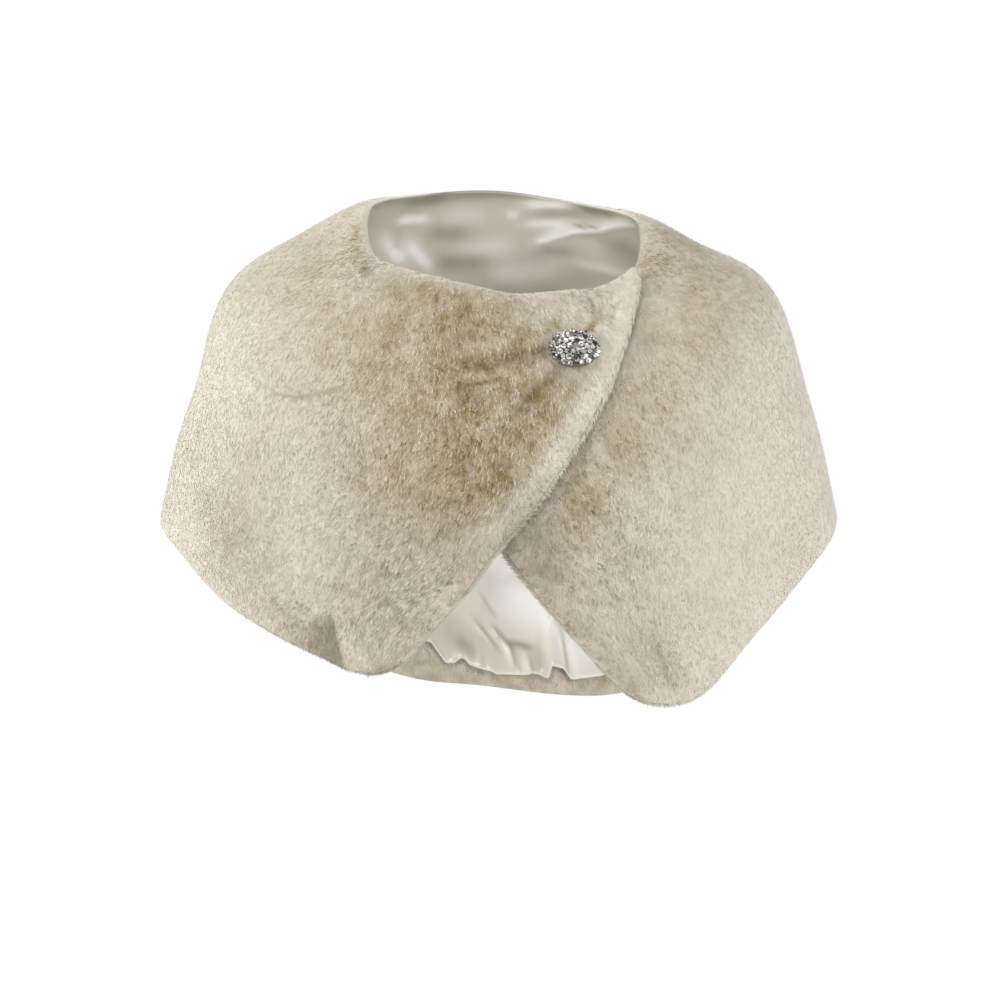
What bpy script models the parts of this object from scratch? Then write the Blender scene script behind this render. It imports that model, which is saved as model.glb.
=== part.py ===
"""A short wrap-over shoulder cape, sold as a shrug, in plush faux fur with a satin lining.

It keeps the hollow form that it has when worn. Metres, +Z up; the front faces -Y, and +X is the
wearer's left. The origin is where the shoulders hold it up: midway between the two points where the
neck edge crosses the shoulder line.

A place on the cloth is given by its azimuth, in degrees from the front centre towards +X, and by its
share of the way from the neck edge (0) to the hem (1).
"""

import math
from collections import namedtuple

import bpy
import numpy as np

# Thicknesses
PILE = 0.010            # the fur, from its ground cloth to the tips
COVERED_PILE = 0.0055   # the fur of the front beneath, where the other front presses it
TURNED_PILE = 0.006     # the fur of the hem that is turned up inside the back
PILE_RIM = 0.002        # the fur at a cut edge
EDGE_ROLL = 0.012       # width over which the fur rolls down to a front edge or the hem
NECK_ROLL = 0.026       # the same at the neck, where the fur is combed down
LINING = 0.001
GAP = 0.0003            # between pieces that are sewn together
LINING_CLEAR = 0.0016   # how far the lining hangs inside the fur's ground cloth
LINING_SEWN = 0.1       # share of the way down over which it comes away from the neck seam

# The wrap of one front over the other
WRAP_LIFT = 0.0108      # how far the front above stands off the form
WRAP_RAMP = 28.0        # azimuth over which it rises
WRAP_MARGIN = 5.0       # azimuth between the end of that rise and the edge beneath
UNCOVER_START = 6.0     # azimuth past the edge above at which the fur beneath starts to recover
UNCOVER_RAMP = 7.0      # azimuth over which it recovers

# Seams and the lining's extent
SIDE_SEAM = 95.0
SEAM_CLEAR = 0.1        # azimuth left free on each side of a seam
OVER_CORNER = 0.018     # radius of the lower front corner of the front above
UNDER_CORNER = 0.014    # the same of the front beneath
FRONT_FACING_STEPS = 4  # steps of a front's grid between its edge and its lining
BACK_LINING_DOWN = (0.0, 0.25, 0.5, 0.7, 0.82, 0.9, 0.956)
TURNED_HEM_START = 0.963
TURNED_HEM_END = 0.996

# Gathers along the lower edge of the back lining
GATHER_DEPTH = 0.0045
GATHER_START = 0.70
GATHER_UNEVENNESS = 0.35
GATHER_BEATS = (1.7, 0.61)  # radians a step of the two waves that make them uneven

# Points across and down each piece
FRONT_GRID = (28, 21)
BACK_GRID = (33, 19)
FRONT_LINING_ROWS = (0, 4, 6, 8, 10, 11, 12, 13, 14, 15, 16)    # of the front's own rows
LINING_STEPS = 3        # steps of the back lining, half a gather each, in each of the back's steps
TURNED_HEM_ROWS = 4
ROW_CROWDING = 0.7      # how much closer the rows lie near the neck and the hem
COLUMN_CROWDING = 1.5   # power that crowds a front's columns towards its edge
SHARP_ANGLE = math.radians(50)
Panel = namedtuple("Panel", "down azimuth share lift inner")

# Reach from the vertical axis and drop below the origin of the fur's ground cloth, at five stations
STATION_SHARES = (0.0, 0.165, 0.38, 0.665, 1.0)
Section = namedtuple("Section", "azimuth neck yoke shoulder arm hem")
SECTIONS = (
    Section(-135, (0.086, -0.008), (0.122, 0.033), (0.158, 0.092), (0.184, 0.190), (0.195, 0.354)),
    Section(-90, (0.098, 0.007), (0.140, 0.028), (0.192, 0.061), (0.219, 0.142), (0.243, 0.241)),
    Section(-60, (0.097, 0.046), (0.131, 0.068), (0.172, 0.108), (0.197, 0.186), (0.212, 0.291)),
    Section(-40, (0.089, 0.053), (0.119, 0.089), (0.147, 0.138), (0.166, 0.222), (0.176, 0.324)),
    Section(0, (0.079, 0.064), (0.104, 0.106), (0.124, 0.165), (0.138, 0.246), (0.145, 0.320)),
    Section(30, (0.086, 0.066), (0.114, 0.102), (0.139, 0.152), (0.157, 0.238), (0.166, 0.346)),
    Section(46, (0.092, 0.066), (0.124, 0.095), (0.156, 0.140), (0.178, 0.228), (0.190, 0.350)),
    Section(60, (0.101, 0.058), (0.133, 0.076), (0.172, 0.111), (0.197, 0.188), (0.212, 0.303)),
    Section(90, (0.104, 0.018), (0.142, 0.037), (0.191, 0.062), (0.222, 0.145), (0.244, 0.239)),
    Section(135, (0.088, -0.001), (0.124, 0.038), (0.159, 0.095), (0.185, 0.197), (0.196, 0.374)),
    Section(180, (0.070, -0.011), (0.098, 0.034), (0.122, 0.105), (0.138, 0.236), (0.145, 0.389)),
)

# Azimuth of the edges of the two fronts: the one above, and the one beneath
FrontEdge = namedtuple("FrontEdge", "share over under")
FRONT_EDGES = (
    FrontEdge(0.0, 70, -48),
    FrontEdge(0.1, 56.5, -45),
    FrontEdge(0.2, 43, -40),
    FrontEdge(0.35, 30.5, -29),
    FrontEdge(0.5, 15.5, -15),
    FrontEdge(0.65, -1, 1),
    FrontEdge(0.8, -11.5, 14),
    FrontEdge(1.0, -27, 32.5),
)

# Soft folds of the whole wall, each along a line on the cloth; a ridge has a positive height
Fold = namedtuple("Fold", "azimuth share to_azimuth to_share width height")
FOLDS = (
    Fold(-36, 0.84, -36, 1.05, 0.018, 0.006),
    Fold(-45, 0.84, -43, 1.05, 0.018, -0.008),
    Fold(41, 0.82, 39, 1.05, 0.020, -0.006),
    Fold(-84, 0.55, -86, 1.05, 0.022, 0.005),
    Fold(78, 0.60, 80, 1.05, 0.022, 0.004),
    Fold(122, 0.55, 120, 1.05, 0.026, -0.006),
    Fold(142, 0.45, 144, 1.05, 0.030, 0.007),
    Fold(166, 0.60, 164, 1.05, 0.026, -0.006),
    Fold(187, 0.40, 188, 1.05, 0.032, 0.007),
    Fold(209, 0.55, 212, 1.05, 0.026, -0.006),
    Fold(234, 0.50, 234, 1.05, 0.030, 0.006),
)
# Troughs in the fur alone, where the brooch pulls it
PULLS = (
    Fold(17, 0.185, -21, 0.22, 0.009, -0.0035),
    Fold(18, 0.24, -7, 0.31, 0.010, -0.0035),
    Fold(35, 0.15, 46, 0.10, 0.010, -0.003),
)
METRES_PER_DEGREE = 0.0030
METRES_PER_SHARE = 0.33
FOLD_TAPER = 0.5            # share of a fold's run over which it rises to its height

# The brooch: an oval setting with rings of stones on a low dome
BROOCH_AZIMUTH = 26.0
BROOCH_SHARE = 0.186
BROOCH_WIDTH = 0.038
BROOCH_HEIGHT = 0.029
BROOCH_SINK = 0.004         # how far its back presses into the fur
BROOCH_DIMPLE = (1.9, 2.6)  # in brooch sizes: where the pressed fur starts to rise and where it is full
SETTING_DEPTH = 0.003
SETTING_RIM = 0.0006        # height of its bevels
SETTING_BACK = 0.94         # share of the brooch's size that its flat back covers
SETTING_FACE = 0.96         # the same of its flat front
DOME_DEPTH = 0.005
DOME_SIZE = 0.93            # share of the brooch's size that the dome covers
DOME_FALL = 0.9             # how far the dome falls to its edge: 1 is half an ellipse
DOME_MIDDLE = 0.03          # size of its innermost ring of points
STONE_CROWN = 0.0016        # height of a stone above the dome
STONE_TABLE = 0.62          # share of a stone that is flat
STONE_PITCH = 0.279         # share of the brooch's size between rings of stones
STONE_RINGS = (1, 6, 12, 18)
BROOCH_SEGMENTS = 54
BROOCH_RINGS = 14

# Colours, and how rough each surface is
FUR_CREAM = (0.60, 0.55, 0.46)
FUR_ROUGHNESS = 0.9
SATIN_IVORY = (0.62, 0.60, 0.52)
SATIN_ROUGHNESS = 0.35
SILVER = (0.62, 0.62, 0.62)
SILVER_ROUGHNESS = 0.3
CRYSTAL = (0.85, 0.87, 0.90)
CRYSTAL_ROUGHNESS = 0.1


def cubic(knots, values, at):
    """A smooth curve through values at uneven knots, read at the places given."""
    knots = np.asarray(knots, float)
    values = np.asarray(values, float)
    at = np.asarray(at, float)
    slopes = np.gradient(values, knots, axis=0)
    cell = np.clip(np.searchsorted(knots, at, side="right") - 1, 0, len(knots) - 2)
    width = knots[cell + 1] - knots[cell]
    u = (at - knots[cell]) / width
    more_axes = (1,) * (values.ndim - 1)
    width = width.reshape(width.shape + more_axes)
    u = u.reshape(u.shape + more_axes)
    start = values[cell] * (1 + 2 * u) + slopes[cell] * width * u
    end = values[cell + 1] * (3 - 2 * u) - slopes[cell + 1] * width * (1 - u)
    return start * (1 - u) ** 2 + end * u**2


def ramp(value, low, high):
    """0 up to low, 1 from high, and an S-curve between."""
    t = np.clip((value - low) / (high - low), 0, 1)
    return t * t * (3 - 2 * t)


def bare_form(azimuth, share):
    """Points of the ground cloth before its folds."""
    turns = np.array([row.azimuth + turn for turn in (-360, 0, 360) for row in SECTIONS])
    stations = np.array([row[1:] for row in SECTIONS] * 3)
    weights = cubic(STATION_SHARES, np.eye(len(STATION_SHARES)), share)
    placed = (cubic(turns, stations, azimuth) * weights[..., None]).sum(axis=-2)
    reach = placed[..., 0]
    drop = placed[..., 1]
    angle = np.radians(azimuth)
    return np.stack([reach * np.sin(angle), -reach * np.cos(angle), -drop], axis=-1)


def outward(azimuth, share):
    """Unit normals of the bare form."""
    turn = 0.5
    step = 0.004
    across = bare_form(azimuth + turn, share) - bare_form(azimuth - turn, share)
    down = bare_form(azimuth, np.minimum(share + step, 1)) - bare_form(azimuth, np.maximum(share - step, 0))
    normal = np.cross(down, across)
    return normal / np.linalg.norm(normal, axis=-1, keepdims=True)


def fold_height(folds, azimuth, share):
    """How far the folds stand out at each place."""
    height = np.zeros(np.shape(azimuth))
    for fold in folds:
        run = np.array([
            (fold.to_azimuth - fold.azimuth) * METRES_PER_DEGREE,
            (fold.to_share - fold.share) * METRES_PER_SHARE,
        ])
        turn = (azimuth - fold.azimuth + 180) % 360 - 180
        away = np.stack([turn * METRES_PER_DEGREE, (share - fold.share) * METRES_PER_SHARE], axis=-1)
        length = np.linalg.norm(run)
        along = np.clip((away @ run) / length**2, 0, 1)
        distance = np.linalg.norm(away - along[..., None] * run, axis=-1)
        taper = ramp(along, 0, FOLD_TAPER)
        height += fold.height * taper * np.exp(-((distance / fold.width) ** 2))
    return height


def over_edge(share):
    return cubic([row.share for row in FRONT_EDGES], [row.over for row in FRONT_EDGES], share)


def under_edge(share):
    return cubic([row.share for row in FRONT_EDGES], [row.under for row in FRONT_EDGES], share)


def wrap_lift(azimuth, share):
    """How far the front above stands off the form to clear the front beneath."""
    full = under_edge(share) - WRAP_MARGIN
    return WRAP_LIFT * ramp(azimuth, full - WRAP_RAMP, full)


def no_lift(azimuth, share):
    return np.zeros_like(share)


def shell(azimuth, share, offset):
    """Points of the folded form, moved outwards by offset."""
    distance = fold_height(FOLDS, azimuth, share) + offset
    return bare_form(azimuth, share) + outward(azimuth, share) * np.asarray(distance)[..., None]


def crowded(count, pull):
    """Places from 0 to 1 that lie closer together near both ends."""
    even = np.linspace(0, 1, count)
    return even - pull * np.sin(2 * np.pi * even) / (2 * np.pi)


def crowded_to_end(count, power):
    """Places from 0 to 1 that lie closer together near 1."""
    return 1 - (1 - np.linspace(0, 1, count)) ** power


def corner_share(azimuth, edge, radius):
    """Share at which the hem ends, so that the corner at a front edge is round."""
    hem = bare_form(azimuth, np.ones_like(azimuth))
    reach = np.hypot(hem[:, 0], hem[:, 1])
    inside = np.minimum(np.radians(np.abs(azimuth - edge)) * reach, radius)
    rise = radius - np.sqrt(radius**2 - (radius - inside) ** 2)
    above = bare_form(azimuth, np.full_like(azimuth, STATION_SHARES[-2]))
    length = np.linalg.norm(hem - above, axis=-1) / (1 - STATION_SHARES[-2])
    return 1 - rise / length


def distance_to_line(points, line):
    """Distance from each point to a chain of straight steps."""
    step = np.diff(line, axis=0)
    away = points[..., None, :] - line[:-1]
    along = np.clip((away * step).sum(axis=-1) / (step * step).sum(axis=-1), 0, 1)
    return np.linalg.norm(away - along[..., None] * step, axis=-1).min(axis=-1)


def rolled(points, full, edges):
    """Depth of the fur: full inside, rolling down to the rim along edges given as (line, roll width)."""
    inward = [1 - np.clip(distance_to_line(points, line) / width, 0, 1) for line, width in edges]
    return PILE_RIM + (full - PILE_RIM) * np.sqrt(1 - np.max(inward, axis=0) ** 2)


def principled(name, colour, roughness, metallic=0.0):
    material = bpy.data.materials.new(name)
    material.use_nodes = True
    shader = material.node_tree.nodes["Principled BSDF"]
    shader.inputs["Base Color"].default_value = (*colour, 1)
    shader.inputs["Roughness"].default_value = roughness
    shader.inputs["Metallic"].default_value = metallic
    return material


def fur(name):
    return principled(name, FUR_CREAM, FUR_ROUGHNESS)


def satin(name):
    return principled(name, SATIN_IVORY, SATIN_ROUGHNESS)


def new_object(name, points, faces, material):
    mesh = bpy.data.meshes.new(name)
    mesh.from_pydata(points.tolist(), [], faces)
    mesh.shade_smooth()
    mesh.set_sharp_from_angle(angle=SHARP_ANGLE)
    mesh.materials.append(material)
    made = bpy.data.objects.new(name, mesh)
    bpy.context.scene.collection.objects.link(made)
    return made


def wall(name, inner, outer, material):
    """A closed wall between two grids of points; rows run down and columns run towards +azimuth."""
    rows, columns = inner.shape[:2]
    number = np.arange(rows * columns).reshape(rows, columns)
    behind = rows * columns
    faces = []
    for r in range(rows - 1):
        for c in range(columns - 1):
            quad = [number[r, c], number[r + 1, c], number[r + 1, c + 1], number[r, c + 1]]
            faces.append([int(n) for n in quad])
            faces.append([int(n) + behind for n in reversed(quad)])
    border = np.concatenate([number[:-1, 0], number[-1, :-1], number[:0:-1, -1], number[0, :0:-1]])
    for a, b in zip(border, np.roll(border, -1)):
        faces.append([int(b), int(a), int(a) + behind, int(b) + behind])
    points = np.concatenate([outer.reshape(-1, 3), inner.reshape(-1, 3)])
    return new_object(name, points, faces, material)


def fixed(azimuth):
    return lambda share: np.full_like(share, azimuth)


def panel_between(first, last, across, hem_share, rows, lift):
    """A panel's inner points, between the azimuths of its first and last edges."""
    down = crowded(rows, ROW_CROWDING)
    share = down[:, None] * hem_share[None, :]
    azimuth = first(share) + (last(share) - first(share)) * across[None, :]
    inner = shell(azimuth, share, lift(azimuth, share))
    return Panel(down, azimuth, share, lift(azimuth, share), inner)


def right_front_panel():
    """The front that lies above, on the wearer's right."""
    columns, rows = FRONT_GRID
    start = -SIDE_SEAM + SEAM_CLEAR
    edge = float(over_edge(1.0))
    across = crowded_to_end(columns, COLUMN_CROWDING)
    hem = corner_share(start + (edge - start) * across, edge, OVER_CORNER)
    return panel_between(fixed(start), over_edge, across, hem, rows, wrap_lift)


def left_front_panel():
    """The front that lies beneath, on the wearer's left."""
    columns, rows = FRONT_GRID
    end = SIDE_SEAM - SEAM_CLEAR
    edge = float(under_edge(1.0))
    across = 1 - crowded_to_end(columns, COLUMN_CROWDING)[::-1]
    hem = corner_share(edge + (end - edge) * across, edge, UNDER_CORNER)
    return panel_between(under_edge, fixed(end), across, hem, rows, no_lift)


def back_panel():
    columns, rows = BACK_GRID
    first = fixed(SIDE_SEAM + SEAM_CLEAR)
    last = fixed(360 - SIDE_SEAM - SEAM_CLEAR)
    return panel_between(first, last, np.linspace(0, 1, columns), np.ones(columns), rows, no_lift)


def press_for_brooch(points):
    """Fur points pushed in under the brooch, so that its back lies on them."""
    centre, across, up, normal = brooch_place()
    away = points - centre
    size = np.hypot(away @ across / (BROOCH_WIDTH / 2), away @ up / (BROOCH_HEIGHT / 2))
    push = np.maximum(away @ normal + GAP, 0) * (1 - ramp(size, *BROOCH_DIMPLE))
    return points - push[..., None] * normal


def right_front(panel, material):
    inner = panel.inner
    cut_edges = [(inner[0], NECK_ROLL), (inner[-1], EDGE_ROLL), (inner[:, -1], EDGE_ROLL)]
    depth = rolled(inner, PILE, cut_edges) + fold_height(PULLS, panel.azimuth, panel.share)
    outer = press_for_brooch(shell(panel.azimuth, panel.share, panel.lift + depth))
    return wall("right_front", inner, outer, material)


def left_front(panel, material):
    """The fur beneath is pressed flatter where the other front covers it."""
    inner = panel.inner
    cut_edges = [(inner[0], NECK_ROLL), (inner[-1], EDGE_ROLL), (inner[:, 0], EDGE_ROLL)]
    beside = over_edge(panel.share) + UNCOVER_START
    uncovered = ramp(panel.azimuth, beside, beside + UNCOVER_RAMP)
    depth = rolled(inner, COVERED_PILE + (PILE - COVERED_PILE) * uncovered, cut_edges)
    return wall("left_front", inner, shell(panel.azimuth, panel.share, depth), material)


def back(panel, material):
    inner = panel.inner
    depth = rolled(inner, PILE, [(inner[0], NECK_ROLL), (inner[-1], EDGE_ROLL)])
    return wall("back", inner, shell(panel.azimuth, panel.share, depth), material)


def between_points(values, rows, columns):
    """Values of a grid read between its points, at fractional rows and columns."""
    row = np.minimum(rows.astype(int), values.shape[0] - 2)
    column = np.minimum(columns.astype(int), values.shape[1] - 2)
    part_row = (rows - row)[:, None, None]
    part_column = (columns - column)[None, :, None]
    upper = values[row][:, column] * (1 - part_column) + values[row][:, column + 1] * part_column
    lower = values[row + 1][:, column] * (1 - part_column) + values[row + 1][:, column + 1] * part_column
    return upper * (1 - part_row) + lower * part_row


def inside_of(panel, down, columns, clear):
    """Points inside a panel, clear of its inner face by a distance for each row, and outward directions."""
    rows = np.interp(down, panel.down, np.arange(len(panel.down)))
    place = np.stack([panel.azimuth, panel.share], axis=-1)
    place = between_points(place, rows, columns)
    normal = outward(place[..., 0], place[..., 1])
    return between_points(panel.inner, rows, columns) - clear[:, None, None] * normal, normal


def lining_clear(down):
    return GAP + (LINING_CLEAR - GAP) * ramp(down, 0, LINING_SEWN)


def front_lining(name, panel, columns, material):
    down = panel.down[list(FRONT_LINING_ROWS)]
    outer, normal = inside_of(panel, down, columns, lining_clear(down))
    return wall(name, outer - LINING * normal, outer, material)


def back_lining(panel, material):
    """The lining of the back, gathered where it joins the turned-up hem."""
    columns = np.arange((BACK_GRID[0] - 1) * LINING_STEPS + 1)
    down = np.array(BACK_LINING_DOWN)
    outer, normal = inside_of(panel, down, columns / LINING_STEPS, lining_clear(down))
    beat = np.sin(GATHER_BEATS[0] * columns) * np.cos(GATHER_BEATS[1] * columns)
    uneven = 1 - GATHER_UNEVENNESS * (1 + beat) / 2
    inward = GATHER_DEPTH * np.outer(ramp(down, GATHER_START, down[-1]), (columns % 2) * uneven)
    outer = outer - inward[..., None] * normal
    return wall("back_lining", outer - LINING * normal, outer, material)


def back_hem_facing(panel, material):
    """The hem of the back's fur, turned up inside, below the lining."""
    down = np.linspace(TURNED_HEM_START, TURNED_HEM_END, TURNED_HEM_ROWS)
    outer, normal = inside_of(panel, down, np.arange(BACK_GRID[0]), np.full(TURNED_HEM_ROWS, GAP))
    depth = rolled(outer, TURNED_PILE, [(outer[0], EDGE_ROLL), (outer[-1], EDGE_ROLL)])
    return wall("back_hem_facing", outer - depth[..., None] * normal, outer, material)


def brooch_place():
    """Centre of the brooch's back, and its directions across, up and outwards."""
    azimuth = np.array(BROOCH_AZIMUTH)
    share = np.array(BROOCH_SHARE)
    lift = wrap_lift(azimuth, share)
    centre = shell(azimuth, share, lift + PILE - BROOCH_SINK)
    normal = outward(azimuth, share)
    across = np.cross(np.array([0.0, 0.0, 1.0]), normal)
    across /= np.linalg.norm(across)
    return centre, across, np.cross(normal, across), normal


def oval(name, outline, segments, material):
    """A closed oval body from rings (share of the size, heights round the ring), middle to middle."""
    centre, across, up, normal = brooch_place()
    angle = np.arange(segments) * 2 * np.pi / segments
    points = []
    for size, heights in outline[1:-1]:
        flat = size * BROOCH_WIDTH / 2 * np.outer(np.cos(angle), across)
        flat += size * BROOCH_HEIGHT / 2 * np.outer(np.sin(angle), up)
        points.extend(centre + flat + np.outer(heights * np.ones(segments), normal))
    first = len(points)
    points.append(centre + float(outline[0][1]) * normal)
    points.append(centre + float(outline[-1][1]) * normal)
    faces = []
    rings = len(outline) - 2
    for s in range(segments):
        after = (s + 1) % segments
        faces.append([first, after, s])
        for ring in range(rings - 1):
            low = ring * segments
            high = low + segments
            faces.append([low + s, low + after, high + after, high + s])
        top = (rings - 1) * segments
        faces.append([first + 1, top + s, top + after])
    return new_object(name, np.array(points), faces, material)


def brooch_setting(material):
    outline = (
        (0.0, 0.0),
        (SETTING_BACK, 0.0),
        (1.0, SETTING_RIM),
        (1.0, SETTING_DEPTH - SETTING_RIM),
        (SETTING_FACE, SETTING_DEPTH),
        (0.0, SETTING_DEPTH),
    )
    return oval("brooch_setting", outline, BROOCH_SEGMENTS, material)


def stone_crowns(size, angle):
    """Height of the stones over the dome: flat tables with sloping sides."""
    across = size * np.cos(angle)
    up = size * np.sin(angle)
    height = np.zeros_like(across)
    for ring, count in enumerate(STONE_RINGS):
        out = ring * STONE_PITCH
        for n in range(count):
            turn = 2 * np.pi * (n + (ring % 2) / 2) / count
            distance = np.hypot(across - out * np.cos(turn), up - out * np.sin(turn))
            slope = np.clip((1 - 2 * distance / STONE_PITCH) / (1 - STONE_TABLE), 0, 1)
            height = np.maximum(height, STONE_CROWN * slope)
    return height


def brooch_stones(material):
    """Rings of cut stones, raised on one low dome."""
    angle = np.arange(BROOCH_SEGMENTS) * 2 * np.pi / BROOCH_SEGMENTS
    base = SETTING_DEPTH + GAP
    outline = [(0.0, base), (DOME_SIZE, base)]
    for size in np.linspace(DOME_SIZE, DOME_MIDDLE, BROOCH_RINGS):
        dome = DOME_DEPTH * np.sqrt(1 - DOME_FALL * (size / DOME_SIZE) ** 2)
        outline.append((size, base + dome + stone_crowns(size, angle)))
    outline.append((0.0, base + DOME_DEPTH + STONE_CROWN))
    return oval("brooch_stones", outline, BROOCH_SEGMENTS, material)


def main():
    for old in list(bpy.data.objects):
        bpy.data.objects.remove(old)
    above = right_front_panel()
    beneath = left_front_panel()
    behind = back_panel()
    columns = np.arange(FRONT_GRID[0])
    right_front(above, fur("right_front_fur"))
    left_front(beneath, fur("left_front_fur"))
    back(behind, fur("back_fur"))
    front_lining("right_front_lining", above, columns[:-FRONT_FACING_STEPS], satin("right_front_satin"))
    front_lining("left_front_lining", beneath, columns[FRONT_FACING_STEPS:], satin("left_front_satin"))
    back_lining(behind, satin("back_satin"))
    back_hem_facing(behind, fur("hem_fur"))
    brooch_setting(principled("setting_silver", SILVER, SILVER_ROUGHNESS, metallic=1.0))
    brooch_stones(principled("stones_crystal", CRYSTAL, CRYSTAL_ROUGHNESS))


main()
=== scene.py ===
"""The looks of the faux fur shrug: plush pile, satin linings and a jewelled brooch.

Metres, in the frame's own axes: +Z up, and the front faces -Y. A place on the cloth is given by its
azimuth, in degrees from the front centre towards +X, and by its share of the way from the neck edge (0)
to the hem (1).
"""

import itertools
import math
from collections import namedtuple

import bpy
import numpy as np
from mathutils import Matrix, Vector
from mathutils.kdtree import KDTree


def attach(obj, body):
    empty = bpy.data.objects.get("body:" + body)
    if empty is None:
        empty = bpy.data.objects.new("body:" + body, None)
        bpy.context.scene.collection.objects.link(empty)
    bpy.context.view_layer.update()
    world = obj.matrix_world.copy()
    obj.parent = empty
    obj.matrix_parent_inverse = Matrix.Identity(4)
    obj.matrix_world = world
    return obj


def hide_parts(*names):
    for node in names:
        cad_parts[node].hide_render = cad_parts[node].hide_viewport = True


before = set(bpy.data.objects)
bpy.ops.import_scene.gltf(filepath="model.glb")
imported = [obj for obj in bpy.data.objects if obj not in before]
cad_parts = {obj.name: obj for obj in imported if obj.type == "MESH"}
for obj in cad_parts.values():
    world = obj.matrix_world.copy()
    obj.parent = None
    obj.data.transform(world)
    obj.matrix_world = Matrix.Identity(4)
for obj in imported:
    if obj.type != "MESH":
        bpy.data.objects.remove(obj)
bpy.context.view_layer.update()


def rows_of(kind, *rows):
    """A table: rows of plain values, each named as its kind says."""
    return tuple(kind(*row) for row in rows)


# Depths of the cloth, from the inside outwards
PILE = 0.010  # the fur, from its ground cloth to the tips
COVERED_PILE = 0.0055  # the fur of the front beneath, where the other front presses it
TURNED_PILE = 0.006  # the fur of the hem that is turned up inside the back
PILE_RIM = 0.002  # the fur at a cut edge
EDGE_ROLL = 0.012  # width over which the fur rolls down to a front edge or the hem
NECK_ROLL = 0.026  # the same at the neck, where the fur is combed down
GROUND = 0.0012  # the cloth that the fur is knitted into
LINING = 0.0008
GAP = 0.0003  # between pieces that are sewn together
LINING_CLEAR = 0.0016  # how far the lining hangs inside the fur's ground cloth
LINING_SEWN = 0.1  # share of the way down over which it comes away from the neck seam

# The wrap of one front over the other
WRAP_LIFT = 0.0108  # how far the front above stands off the form
WRAP_RAMP = 28.0  # azimuth over which it rises
WRAP_MARGIN = 5.0  # azimuth between the end of that rise and the edge beneath
UNCOVER_START = -4.0  # azimuth past the edge above at which the fur beneath starts to recover
UNCOVER_RAMP = 8.0  # azimuth over which it recovers
COVERED_REACH = 9.0  # azimuth that the pile beneath runs on under the front above
SIDE_SEAM = 95.0
OVER_CORNER = 0.018  # radius of the lower front corner of the front above
UNDER_CORNER = 0.014  # the same of the front beneath
NECK_CORNER = 0.012  # the same of both fronts, at the neck

# Points across and down each piece
RIGHT_GRID = (191, 161)
LEFT_GRID = (141, 121)
BACK_GRID = (171, 121)
FRONT_LINING = (0.943, 0.906)  # shares of a front's width and length that its lining covers
FRONT_LINING_GRID = (61, 61)
BACK_LINING_GRID = (281, 91)
HEM_GRID = (201, 17)
BODY_TRIM = 1.4  # points of the grid by which the dense pile stops short of the hem and front edges

# Reach from the vertical axis and drop below the origin of the fur's ground cloth, at five stations
STATION_SHARES = (0.0, 0.165, 0.38, 0.665, 1.0)
Section = namedtuple("Section", "azimuth neck yoke shoulder arm hem")
SECTIONS = rows_of(
    Section,
    (-135, (0.086, -0.008), (0.122, 0.033), (0.158, 0.092), (0.184, 0.19), (0.195, 0.354)),
    (-90, (0.098, 0.007), (0.14, 0.028), (0.192, 0.061), (0.219, 0.142), (0.243, 0.241)),
    (-60, (0.097, 0.046), (0.131, 0.068), (0.172, 0.108), (0.197, 0.186), (0.212, 0.291)),
    (-40, (0.089, 0.053), (0.119, 0.089), (0.147, 0.138), (0.166, 0.222), (0.176, 0.324)),
    (0, (0.079, 0.064), (0.104, 0.106), (0.124, 0.165), (0.138, 0.246), (0.145, 0.32)),
    (30, (0.086, 0.066), (0.114, 0.102), (0.139, 0.152), (0.157, 0.238), (0.166, 0.346)),
    (46, (0.092, 0.066), (0.124, 0.095), (0.156, 0.14), (0.178, 0.228), (0.19, 0.35)),
    (60, (0.101, 0.058), (0.133, 0.076), (0.172, 0.111), (0.197, 0.188), (0.212, 0.303)),
    (90, (0.104, 0.018), (0.142, 0.037), (0.191, 0.062), (0.222, 0.145), (0.244, 0.239)),
    (135, (0.088, -0.001), (0.124, 0.038), (0.159, 0.095), (0.185, 0.197), (0.196, 0.374)),
    (180, (0.07, -0.011), (0.098, 0.034), (0.122, 0.105), (0.138, 0.236), (0.145, 0.389)),
)

# Azimuth of the edges of the two fronts: the one above, and the one beneath
FrontEdge = namedtuple("FrontEdge", "share over under")
FRONT_EDGES = rows_of(
    FrontEdge,
    (0.0, 70, -48), (0.1, 56.5, -45), (0.2, 43, -40), (0.35, 30.5, -29), (0.5, 15.5, -15),
    (0.65, -1, 1), (0.8, -11.5, 12.8), (1.0, -27, 32.5),
)

# Soft folds of the whole wall, each along a line on the cloth; a ridge has a positive height
Fold = namedtuple("Fold", "azimuth share to_azimuth to_share width height")
FOLDS = rows_of(
    Fold,
    (-36, 0.84, -36, 1.05, 0.018, 0.006), (-45, 0.84, -43, 1.05, 0.018, -0.008),
    (41, 0.82, 39, 1.05, 0.02, -0.006), (-84, 0.55, -86, 1.05, 0.022, 0.005),
    (78, 0.6, 80, 1.05, 0.022, 0.004), (122, 0.55, 120, 1.05, 0.026, -0.006),
    (142, 0.45, 144, 1.05, 0.03, 0.007), (166, 0.6, 164, 1.05, 0.026, -0.006),
    (187, 0.4, 188, 1.05, 0.032, 0.007), (209, 0.55, 212, 1.05, 0.026, -0.006),
    (234, 0.5, 234, 1.05, 0.03, 0.006),
)
# Troughs in the fur alone, where the brooch pulls it
PULLS = rows_of(
    Fold,
    (17, 0.185, -21, 0.22, 0.009, -0.0035), (18, 0.24, -7, 0.31, 0.01, -0.0035),
    (35, 0.15, 46, 0.1, 0.01, -0.003),
)
METRES_PER_DEGREE = 0.0030
METRES_PER_SHARE = 0.33
FOLD_TAPER = 0.5  # share of a fold's run over which it rises to its height

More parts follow.
